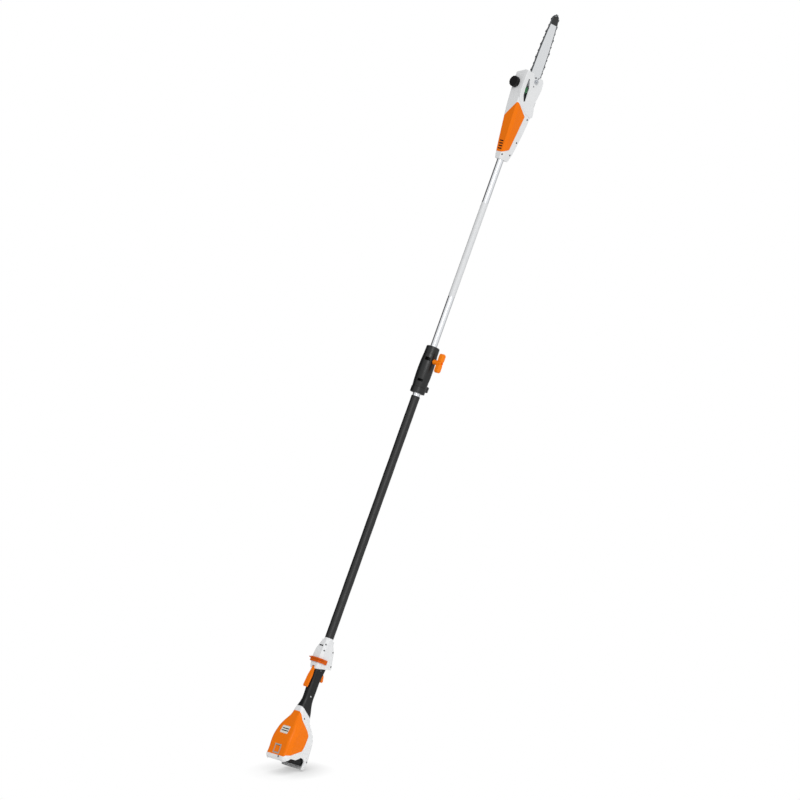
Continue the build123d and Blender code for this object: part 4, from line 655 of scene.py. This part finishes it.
def oval(length, height, waist):
    """Outline of a link plate with two round ends and a waist, in mm."""
    outline = []
    end_radius = height / 2
    for side in (1, -1):
        for angle in (-60, -30, 0, 30, 60):
            turn = math.radians(angle)
            x = length / 2 - end_radius + end_radius * math.cos(turn)
            outline.append((side * x, side * end_radius * math.sin(turn)))
        outline.append((0, side * waist / 2))
    return outline


def disc(x, radius):
    """Eight-sided outline of a rivet head, in mm."""
    turns = [math.pi / 4 * step for step in range(8)]
    return [(x + radius * math.cos(turn), radius * math.sin(turn)) for turn in turns]


pitch_mm = link_pitch / mm
plate_length, plate_height = pitch_mm + 3.6, 4.2
side_waist, middle_waist, middle_half = 3.0, 3.4, 0.7
rivet_x, rivet_radius = pitch_mm / 2, 1.2
side_near, side_far, rivet_far = 0.85, 1.95, 2.25
side_outline = oval(plate_length, plate_height, side_waist)
side_plates = plates(
    "side_plates",
    [
        (side_outline, side_near, side_far),
        (side_outline, -side_far, -side_near),
        (disc(rivet_x, rivet_radius), -rivet_far, rivet_far),
        (disc(-rivet_x, rivet_radius), -rivet_far, rivet_far),
    ],
)
middle_outline = oval(plate_length, plate_height, middle_waist)
middle_plate = plates("middle_plate", [(middle_outline, -middle_half, middle_half)])
cutter_side = [
    (-6.2, -1.6),
    (6.4, -1.6),
    (6.8, 1.0),
    (6.0, 3.9),
    (4.6, 4.2),
    (3.4, 1.6),
    (1.6, 1.4),
    (0.6, 4.4),
    (-6.0, 4.0),
    (-6.8, 0.5),
]
cutter_top = [(0.7, 4.5), (-6.0, 4.1), (-6.0, 3.5), (0.5, 3.8)]
cutter_near, cutter_far = side_near + 0.1, side_far + 0.35
top_inner, top_outer = 1.2, side_far + 0.7
cutters = [
    plates("cutter_right", [(cutter_side, cutter_near, cutter_far), (cutter_top, -top_inner, top_outer)]),
    plates("cutter_left", [(cutter_side, -cutter_far, -cutter_near), (cutter_top, -top_outer, top_inner)]),
]

# %% Chain tree
chain_tree, chain_given, chain_result = new_tree(
    "saw_chain",
    [
        ("Loop", "NodeSocketObject"),
        ("Side Plates", "NodeSocketObject"),
        ("Middle Plate", "NodeSocketObject"),
        ("Right Cutter", "NodeSocketObject"),
        ("Left Cutter", "NodeSocketObject"),
        ("Links", "NodeSocketInt"),
        ("Plate Spacing", "NodeSocketInt"),
        ("Cutter Spacing", "NodeSocketInt"),
        ("Material", "NodeSocketMaterial"),
    ],
)
loop_info = add_node(chain_tree, "GeometryNodeObjectInfo", links=[("Object", chain_given["Loop"])])
link_places = add_node(
    chain_tree,
    "GeometryNodeCurveToPoints",
    {"mode": "COUNT"},
    [("Curve", loop_info.outputs["Geometry"]), ("Count", chain_given["Links"])],
)
along = add_node(
    chain_tree,
    "FunctionNodeAlignRotationToVector",
    {"axis": "X"},
    [("Vector", link_places.outputs["Tangent"])],
)
upright = add_node(
    chain_tree,
    "FunctionNodeAlignRotationToVector",
    {"axis": "Z", "pivot_axis": "X", "Vector": (1, 0, 0)},
    [("Rotation", along.outputs[0])],
)
link_index = add_node(chain_tree, "GeometryNodeInputIndex")
gathered = add_node(chain_tree, "GeometryNodeJoinGeometry")
link_kinds = [
    ("Side Plates", "Plate Spacing", 0),
    ("Middle Plate", "Plate Spacing", 1 / 2),
    ("Right Cutter", "Cutter Spacing", 0),
    ("Left Cutter", "Cutter Spacing", 1 / 2),
]
for label, spacing, share in link_kinds:
    link_shape = add_node(chain_tree, "GeometryNodeObjectInfo", links=[("Object", chain_given[label])])
    remainder = add_node(
        chain_tree,
        "ShaderNodeMath",
        {"operation": "MODULO"},
        [(0, link_index.outputs[0]), (1, chain_given[spacing])],
    )
    wanted = add_node(
        chain_tree, "ShaderNodeMath", {"operation": "MULTIPLY", 1: share}, [(0, chain_given[spacing])]
    )
    chosen = add_node(
        chain_tree,
        "FunctionNodeCompare",
        {"data_type": "FLOAT", "operation": "EQUAL"},
        [("A", remainder.outputs[0]), ("B", wanted.outputs[0])],
    )
    placed = add_node(
        chain_tree,
        "GeometryNodeInstanceOnPoints",
        links=[
            ("Points", link_places.outputs["Points"]),
            ("Selection", chosen.outputs[0]),
            ("Instance", link_shape.outputs["Geometry"]),
            ("Rotation", upright.outputs[0]),
        ],
    )
    chain_tree.links.new(placed.outputs[0], gathered.inputs[0])
close_tree(chain_tree, gathered.outputs[0], chain_given, chain_result)

chain_piece = grown_piece(
    "linked_saw_chain",
    chain_tree,
    {
        "Loop": chain_loop,
        "Side Plates": side_plates,
        "Middle Plate": middle_plate,
        "Right Cutter": cutters[0],
        "Left Cutter": cutters[1],
        "Links": link_count,
        "Plate Spacing": plate_spacing,
        "Cutter Spacing": cutter_spacing,
        "Material": blued_steel,
    },
)
for helper in (chain_loop, side_plates, middle_plate, *cutters):
    bpy.data.objects.remove(helper)
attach(chain_piece, "upper")
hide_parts("saw_chain")

# %% [markdown]
# ## Small pieces in the head and on the control box
# Through the opening in the sprocket cover one sees a dark side plate, a green guard and the round end of
# the chain catcher. They are flat moulded pieces, so an outline pushed out along one axis, with its edges
# broken, is enough. The front of the control box has a recess for the sliding latch, drawn as a dark patch
# a little proud of the wall: its darkness is painted shade. It follows the curved wall, whose height is
# found by casting rays at the solid.


# %% Outlined plates
def rounded_outline(corners, radius, steps=4):
    """Corner points of a polygon, with each corner replaced by a short arc of points."""
    points = []
    count = len(corners)
    for index, corner in enumerate(corners):
        here = Vector(corner)
        before = (Vector(corners[index - 1]) - here).normalized()
        after = (Vector(corners[(index + 1) % count]) - here).normalized()
        reach = radius / math.tan(before.angle(after) / 2)
        start, end = here + reach * before, here + reach * after
        for step in range(steps + 1):
            share = step / steps
            points.append((1 - share) ** 2 * start + 2 * share * (1 - share) * here + share**2 * end)
    return points


def plate(name, outline, near, far, finish, edge):
    """A plate with its outline in (y, z), from x = near to x = far, with broken edges, in metres."""
    shape = bmesh.new()
    bottom = [shape.verts.new((near, y, z)) for y, z in outline]
    face = shape.faces.new(bottom)
    pushed = bmesh.ops.extrude_face_region(shape, geom=[face])
    top = [item for item in pushed["geom"] if isinstance(item, bmesh.types.BMVert)]
    bmesh.ops.translate(shape, verts=top, vec=(far - near, 0, 0))
    rims = [e for e in shape.edges if abs(e.verts[0].co.x - e.verts[1].co.x) < 1e-7]
    bmesh.ops.bevel(shape, geom=rims, offset=edge, segments=2, profile=0.6, affect="EDGES")
    bmesh.ops.recalc_face_normals(shape, faces=shape.faces)
    mesh = bpy.data.meshes.new(name)
    shape.to_mesh(mesh)
    shape.free()
    mesh.materials.append(finish)
    piece = bpy.data.objects.new(name, mesh)
    bpy.context.scene.collection.objects.link(piece)
    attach(piece, "upper")
    return piece


cover_low, cover_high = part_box("sprocket_cover")
shell_face = cover_low.x
window_top, window_bottom = 2388 * mm, 2290 * mm
side_plate_corners = [
    (-36 * mm, window_top),
    (-20 * mm, window_top),
    (-7 * mm, 2340 * mm),
    (-5 * mm, window_bottom),
    (-22 * mm, window_bottom),
    (-37 * mm, 2325 * mm),
]
side_plate_thickness, side_plate_corner, side_plate_edge = 1.0 * mm, 4 * mm, 0.2 * mm
# A plain black plate behind the opening in the sprocket cover.
side_plate = plate(
    "oily_side_plate",
    rounded_outline(side_plate_corners, side_plate_corner),
    shell_face,
    shell_face + side_plate_thickness,
    cap_nylon,
    side_plate_edge,
)
guard_front, guard_back, guard_top, guard_bottom = -31 * mm, -15 * mm, 2353 * mm, 2331 * mm
guard_corners = [
    (guard_front, guard_top),
    (guard_back, guard_top),
    (guard_back, guard_bottom),
    (guard_front, guard_bottom),
]
guard_near, guard_far, guard_corner, guard_edge = 24.3 * mm, 25.9 * mm, 1.5 * mm, 0.3 * mm
guard = plate(
    "green_chain_guard",
    rounded_outline(guard_corners, guard_corner),
    guard_near,
    guard_far,
    guard_green,
    guard_edge,
)
catcher_middle, catcher_radius = Vector((-14 * mm, 2303 * mm)), 4.6 * mm
catcher_turns = [math.pi / 12 * step for step in range(24)]
catcher_outline = [
    catcher_middle + catcher_radius * Vector((math.cos(turn), math.sin(turn))) for turn in catcher_turns
]
catcher_far, catcher_edge = 25.5 * mm, 0.9 * mm
catcher = plate("chain_catcher", catcher_outline, shell_face, catcher_far, cap_nylon, catcher_edge)
print("head plates", [round(v, 4) for v in (*cover_low, *cover_high)])


# %% Latch recess on the control box, a dark patch of painted shade
ray_start = 200 * mm
corner_signs = ((-1, -1), (1, -1), (1, 1), (-1, 1))


def front_of_box(x, z):
    """The y of the control box's front wall at this place, in metres."""
    half = nodes["control_box_right" if x >= 0 else "control_box_left"]
    found, place, normal, index = half.ray_cast(Vector((x, -ray_start, z)), Vector((0, 1, 0)))
    return place.y


bpy.context.view_layer.update()
recess_middle = Vector((0.4 * mm, 164 * mm))
recess_width, recess_height = 19 * mm, 5.2 * mm
recess_proud, recess_sunk, recess_edge = 0.25 * mm, 1.2 * mm, 0.5 * mm
recess_corner_radius = 2 * mm
recess_corners = [
    recess_middle + Vector((a * recess_width / 2, b * recess_height / 2)) for a, b in corner_signs
]
recess_rim = rounded_outline(recess_corners, recess_corner_radius)
floor_share = 1 - 2 * recess_edge / recess_height
recess_floor = [recess_middle + floor_share * (p - recess_middle) for p in recess_rim]
recess_rings = [(recess_rim, recess_sunk), (recess_rim, -0.5 * recess_proud), (recess_floor, -recess_proud)]
recess_points = [(p.x, front_of_box(p.x, p.y) + depth, p.y) for ring, depth in recess_rings for p in ring]
around = len(recess_rim)
recess_faces = [
    (low + step, low + (step + 1) % around, low + around + (step + 1) % around, low + around + step)
    for low in (0, around)
    for step in range(around)
]
recess_faces.append(tuple(range(2 * around, 3 * around)))
recess_faces.append(tuple(reversed(range(around))))
# A dark patch, a little proud of the wall, stands in for the shade in the latch recess: painted shade.
recess_shade_patch = mesh_piece("latch_recess", recess_points, recess_faces, bay_nylon, smooth=False)
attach(recess_shade_patch, "handle")
print("latch recess points", len(recess_points))

# %% [markdown]
# ## Painted shade in the screw wells
# The screws of the white casings sit deep in round wells. Each well is closed a little below its rim by a
# small black disc, which is painted shade: it stands in for the shadow deep in the well. The same disc goes
# on every well, so a node tree stamps it on a list of points, turned along a direction that each point
# carries. One more is the black screw head in the front wall of the base.


# %% Painted well shade
def rim_of_well(node, y, z, well_radius):
    """The lowest x of the wall round a well that is open towards +X, in metres."""
    heights = []
    for step in range(8):
        turn = step * math.pi / 4
        place = Vector((ray_start, y + well_radius * math.cos(turn), z + well_radius * math.sin(turn)))
        found, point, normal, index = nodes[node].ray_cast(place, Vector((-1, 0, 0)))
        if found:
            heights.append(point.x)
    return min(heights)


well_shade_tree, well_shade_given, well_shade_result = new_tree(
    "painted_well_shade",
    [
        ("Geometry", "NodeSocketGeometry"),
        ("Radius", "NodeSocketFloat"),
        ("Depth", "NodeSocketFloat"),
        ("Material", "NodeSocketMaterial"),
    ],
)
shade_disc_form = add_node(
    well_shade_tree,
    "GeometryNodeMeshCylinder",
    {"Vertices": 20},
    [("Radius", well_shade_given["Radius"]), ("Depth", well_shade_given["Depth"])],
)
shade_disc_axis = add_node(
    well_shade_tree, "GeometryNodeInputNamedAttribute", {"data_type": "FLOAT_VECTOR", "Name": "outward"}
)
shade_disc_turn = add_node(
    well_shade_tree, "FunctionNodeAlignRotationToVector", {"axis": "Z"}, [("Vector", shade_disc_axis.outputs[0])]
)
stamped = add_node(
    well_shade_tree,
    "GeometryNodeInstanceOnPoints",
    links=[
        ("Points", well_shade_given["Geometry"]),
        ("Instance", shade_disc_form.outputs["Mesh"]),
        ("Rotation", shade_disc_turn.outputs[0]),
    ],
)
close_tree(well_shade_tree, stamped.outputs[0], well_shade_given, well_shade_result)

# Black discs below the well rims stand in for the shadow inside the deep screw wells: painted shade.
shade_disc_radius, shade_disc_depth, shade_disc_sunk, well_edge = 3.45 * mm, 3.0 * mm, 0.35 * mm, 4.4 * mm
foot_screw_place = Vector((20 * mm, -ray_start, -274 * mm))
foot_screw_proud = 0.02 * mm
wells = {
    "handle": [
        ("base_shell_right", -8.0, -112.0),
        ("base_shell_right", 52.5, -258.0),
        ("control_box_right", -19.5, 170.0),
        ("control_box_right", -23.0, 147.0),
        ("control_box_right", 21.0, 152.0),
        ("control_box_right", 34.0, 101.0),
    ],
    "upper": [
        ("head_shell_right", 19.5, 2098.0),
        ("head_shell_right", -17.0, 2090.0),
        ("head_shell_right", 27.0, 2150.0),
        ("head_shell_right", 34.0, 2244.0),
    ],
}
for body, places in wells.items():
    outward = Vector((1, 0, 0))
    spots = []
    for node, y, z in places:
        rim = rim_of_well(node, y * mm, z * mm, well_edge)
        spots.append((Vector((rim - shade_disc_sunk - shade_disc_depth / 2, y * mm, z * mm)), outward))
    if body == "handle":
        towards_back = Vector((0, 1, 0))
        found, point, normal, index = nodes["base_shell_right"].ray_cast(foot_screw_place, towards_back)
        spots.append((point - (shade_disc_depth / 2 - foot_screw_proud) * normal, normal))
    spot_mesh = bpy.data.meshes.new(body + "_spots")
    spot_mesh.from_pydata([spot for spot, axis in spots], [], [])
    spot_axis = spot_mesh.attributes.new("outward", "FLOAT_VECTOR", "POINT")
    for index, (spot, axis) in enumerate(spots):
        spot_axis.data[index].vector = axis
    # The discs are painted shade for the wells.
    shade_discs = grown_piece(
        body + "_well_plugs",
        well_shade_tree,
        {"Radius": shade_disc_radius, "Depth": shade_disc_depth, "Material": cap_nylon},
        spot_mesh,
    )
    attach(shade_discs, body)

# %% [markdown]
# ## Studio
# The tool leans in front of a white backdrop, with a soft shadow under its base. The camera is far away
# with a long lens, as for a catalogue picture, and is rolled so that the pole leans to the right. The
# floor is level in the picture and only carries the shadow.

# %% Camera
view_azimuth, view_elevation = math.radians(45), math.radians(-5.3)
lean = math.radians(19.7)
camera_distance = 30.0
frame_width = 2.936
aim = Vector((-0.0354, -0.0354, 1.110))
towards_camera = Vector(
    (
        math.sin(view_azimuth) * math.cos(view_elevation),
        -math.cos(view_azimuth) * math.cos(view_elevation),
        math.sin(view_elevation),
    )
)
level = Vector((math.cos(view_azimuth), math.sin(view_azimuth), 0))
pole_up = towards_camera.cross(level)
picture_right = math.sin(lean) * pole_up + math.cos(lean) * level
picture_up = math.cos(lean) * pole_up - math.sin(lean) * level
camera_data = bpy.data.cameras.new("camera")
camera_data.lens = camera_data.sensor_width * camera_distance / frame_width
camera_data.clip_end = 200
camera = bpy.data.objects.new("camera", camera_data)
camera_turn = Matrix((picture_right, picture_up, towards_camera)).transposed().to_4x4()
camera.matrix_world = Matrix.Translation(aim + camera_distance * towards_camera) @ camera_turn
bpy.context.scene.collection.objects.link(camera)
bpy.context.scene.camera = camera

# %% Floor
floor_tilt = math.radians(12)
floor_normal = math.cos(floor_tilt) * picture_up + math.sin(floor_tilt) * towards_camera
shell_low, shell_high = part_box("base_shell_right")
left_low, left_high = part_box("base_shell_left")
corners = [
    Vector((x, y, shell_low.z)) for x in (left_low.x, shell_high.x) for y in (shell_low.y, shell_high.y)
]
lowest = min(corners, key=lambda corner: corner.dot(floor_normal))
floor_side = floor_normal.cross(picture_right).normalized()
floor_half = 0.9
floor_points = [
    lowest + floor_half * (a * picture_right + b * floor_side) for a, b in corner_signs
]
floor_finish = bpy.data.materials.new("white_paper_floor")
floor_finish.use_nodes = True
floor_tree = floor_finish.node_tree
floor_tree.nodes.clear()
path = add_node(floor_tree, "ShaderNodeLightPath")
shadow_reach, shadow_grey = 110 * mm, 0.45
contact = add_node(floor_tree, "ShaderNodeAmbientOcclusion", {"Distance": shadow_reach, "samples": 12})
shade = add_node(
    floor_tree,
    "ShaderNodeMapRange",
    {"From Min": 0.25, "To Min": shadow_grey},
    [("Value", contact.outputs["AO"])],
)
paper = add_node(floor_tree, "ShaderNodeBsdfDiffuse", {"Color": linear("#F2F2F2")})
glow = add_node(floor_tree, "ShaderNodeEmission", links=[("Strength", shade.outputs[0])])
seen = add_node(
    floor_tree,
    "ShaderNodeMixShader",
    links=[(0, path.outputs["Is Camera Ray"]), (1, paper.outputs[0]), (2, glow.outputs[0])],
)
clear = add_node(floor_tree, "ShaderNodeBsdfTransparent")
side = add_node(floor_tree, "ShaderNodeNewGeometry")
one_sided = add_node(
    floor_tree,
    "ShaderNodeMixShader",
    links=[(0, side.outputs["Backfacing"]), (1, seen.outputs[0]), (2, clear.outputs[0])],
)
add_node(floor_tree, "ShaderNodeOutputMaterial", links=[("Surface", one_sided.outputs[0])])
floor = mesh_piece("floor", floor_points, [(0, 1, 2, 3)], floor_finish, smooth=False)
if floor.data.polygons[0].normal.dot(floor_normal) < 0:
    floor.data.flip_normals()

# %% World and lamps
world = bpy.data.worlds.new("studio")
bpy.context.scene.world = world
world.use_nodes = True
world_tree = world.node_tree
world_tree.nodes.clear()
ray = add_node(world_tree, "ShaderNodeLightPath")
direction = add_node(world_tree, "ShaderNodeTexCoord")
along_view = add_node(
    world_tree,
    "ShaderNodeVectorMath",
    {"operation": "DOT_PRODUCT", 1: tuple(towards_camera)},
    [(0, direction.outputs["Generated"])],
)
along_level = add_node(
    world_tree,
    "ShaderNodeVectorMath",
    {"operation": "DOT_PRODUCT", 1: tuple(level)},
    [(0, direction.outputs["Generated"])],
)


def back_panel(view_from, view_to, grey):
    """White in front, and a grey panel behind the tool from one depth to another."""
    share = add_node(
        world_tree,
        "ShaderNodeMapRange",
        {"From Min": view_from, "From Max": view_to},
        [("Value", along_view.outputs["Value"])],
    )
    panel = add_node(
        world_tree,
        "ShaderNodeMix",
        {"data_type": "RGBA", 6: (1, 1, 1, 1), 7: (grey, grey, grey, 1)},
        [("Factor", share.outputs[0])],
    )
    return panel.outputs[2]


right_half = add_node(
    world_tree,
    "ShaderNodeMapRange",
    {"From Min": -0.1, "From Max": 0.1},
    [("Value", along_level.outputs["Value"])],
)
mirrored = add_node(
    world_tree,
    "ShaderNodeMix",
    {"data_type": "RGBA"},
    [
        ("Factor", right_half.outputs[0]),
        (6, back_panel(0.28, 0.05, 0.10)),
        (7, back_panel(-0.05, -0.25, 0.55)),
    ],
)
left_fall = add_node(
    world_tree,
    "ShaderNodeMapRange",
    {"From Min": -0.1, "From Max": -0.9, "To Min": 0.70, "To Max": 0.44},
    [("Value", along_level.outputs["Value"])],
)
fill_or_mirror = add_node(
    world_tree,
    "ShaderNodeMix",
    {"data_type": "RGBA"},
    [("Factor", ray.outputs["Is Glossy Ray"]), (6, left_fall.outputs[0]), (7, mirrored.outputs[2])],
)
straight = add_node(
    world_tree,
    "ShaderNodeMath",
    {"operation": "MAXIMUM"},
    [(0, ray.outputs["Is Camera Ray"]), (1, ray.outputs["Is Transmission Ray"])],
)
all_rays = add_node(
    world_tree,
    "ShaderNodeMix",
    {"data_type": "RGBA", 7: (1, 1, 1, 1)},
    [("Factor", straight.outputs[0]), (6, fill_or_mirror.outputs[2])],
)
sky = add_node(world_tree, "ShaderNodeBackground", links=[("Color", all_rays.outputs[2])])
add_node(world_tree, "ShaderNodeOutputWorld", links=[("Surface", sky.outputs[0])])

lamp_table = [
    ("key_lamp", (0.72, -0.70, 0.42), 1.2, 25),
    ("rim_lamp", (-0.35, 0.80, 0.55), 0.5, 30),
]
for lamp_name, lamp_from, lamp_power, lamp_angle in lamp_table:
    lamp_data = bpy.data.lights.new(lamp_name, "SUN")
    lamp_data.energy = lamp_power
    lamp_data.angle = math.radians(lamp_angle)
    lamp = bpy.data.objects.new(lamp_name, lamp_data)
    lamp.rotation_mode = "QUATERNION"
    lamp.rotation_quaternion = Vector(lamp_from).to_track_quat("Z", "Y")
    bpy.context.scene.collection.objects.link(lamp)
bpy.context.scene.view_settings.view_transform = "Standard"
print("studio set")
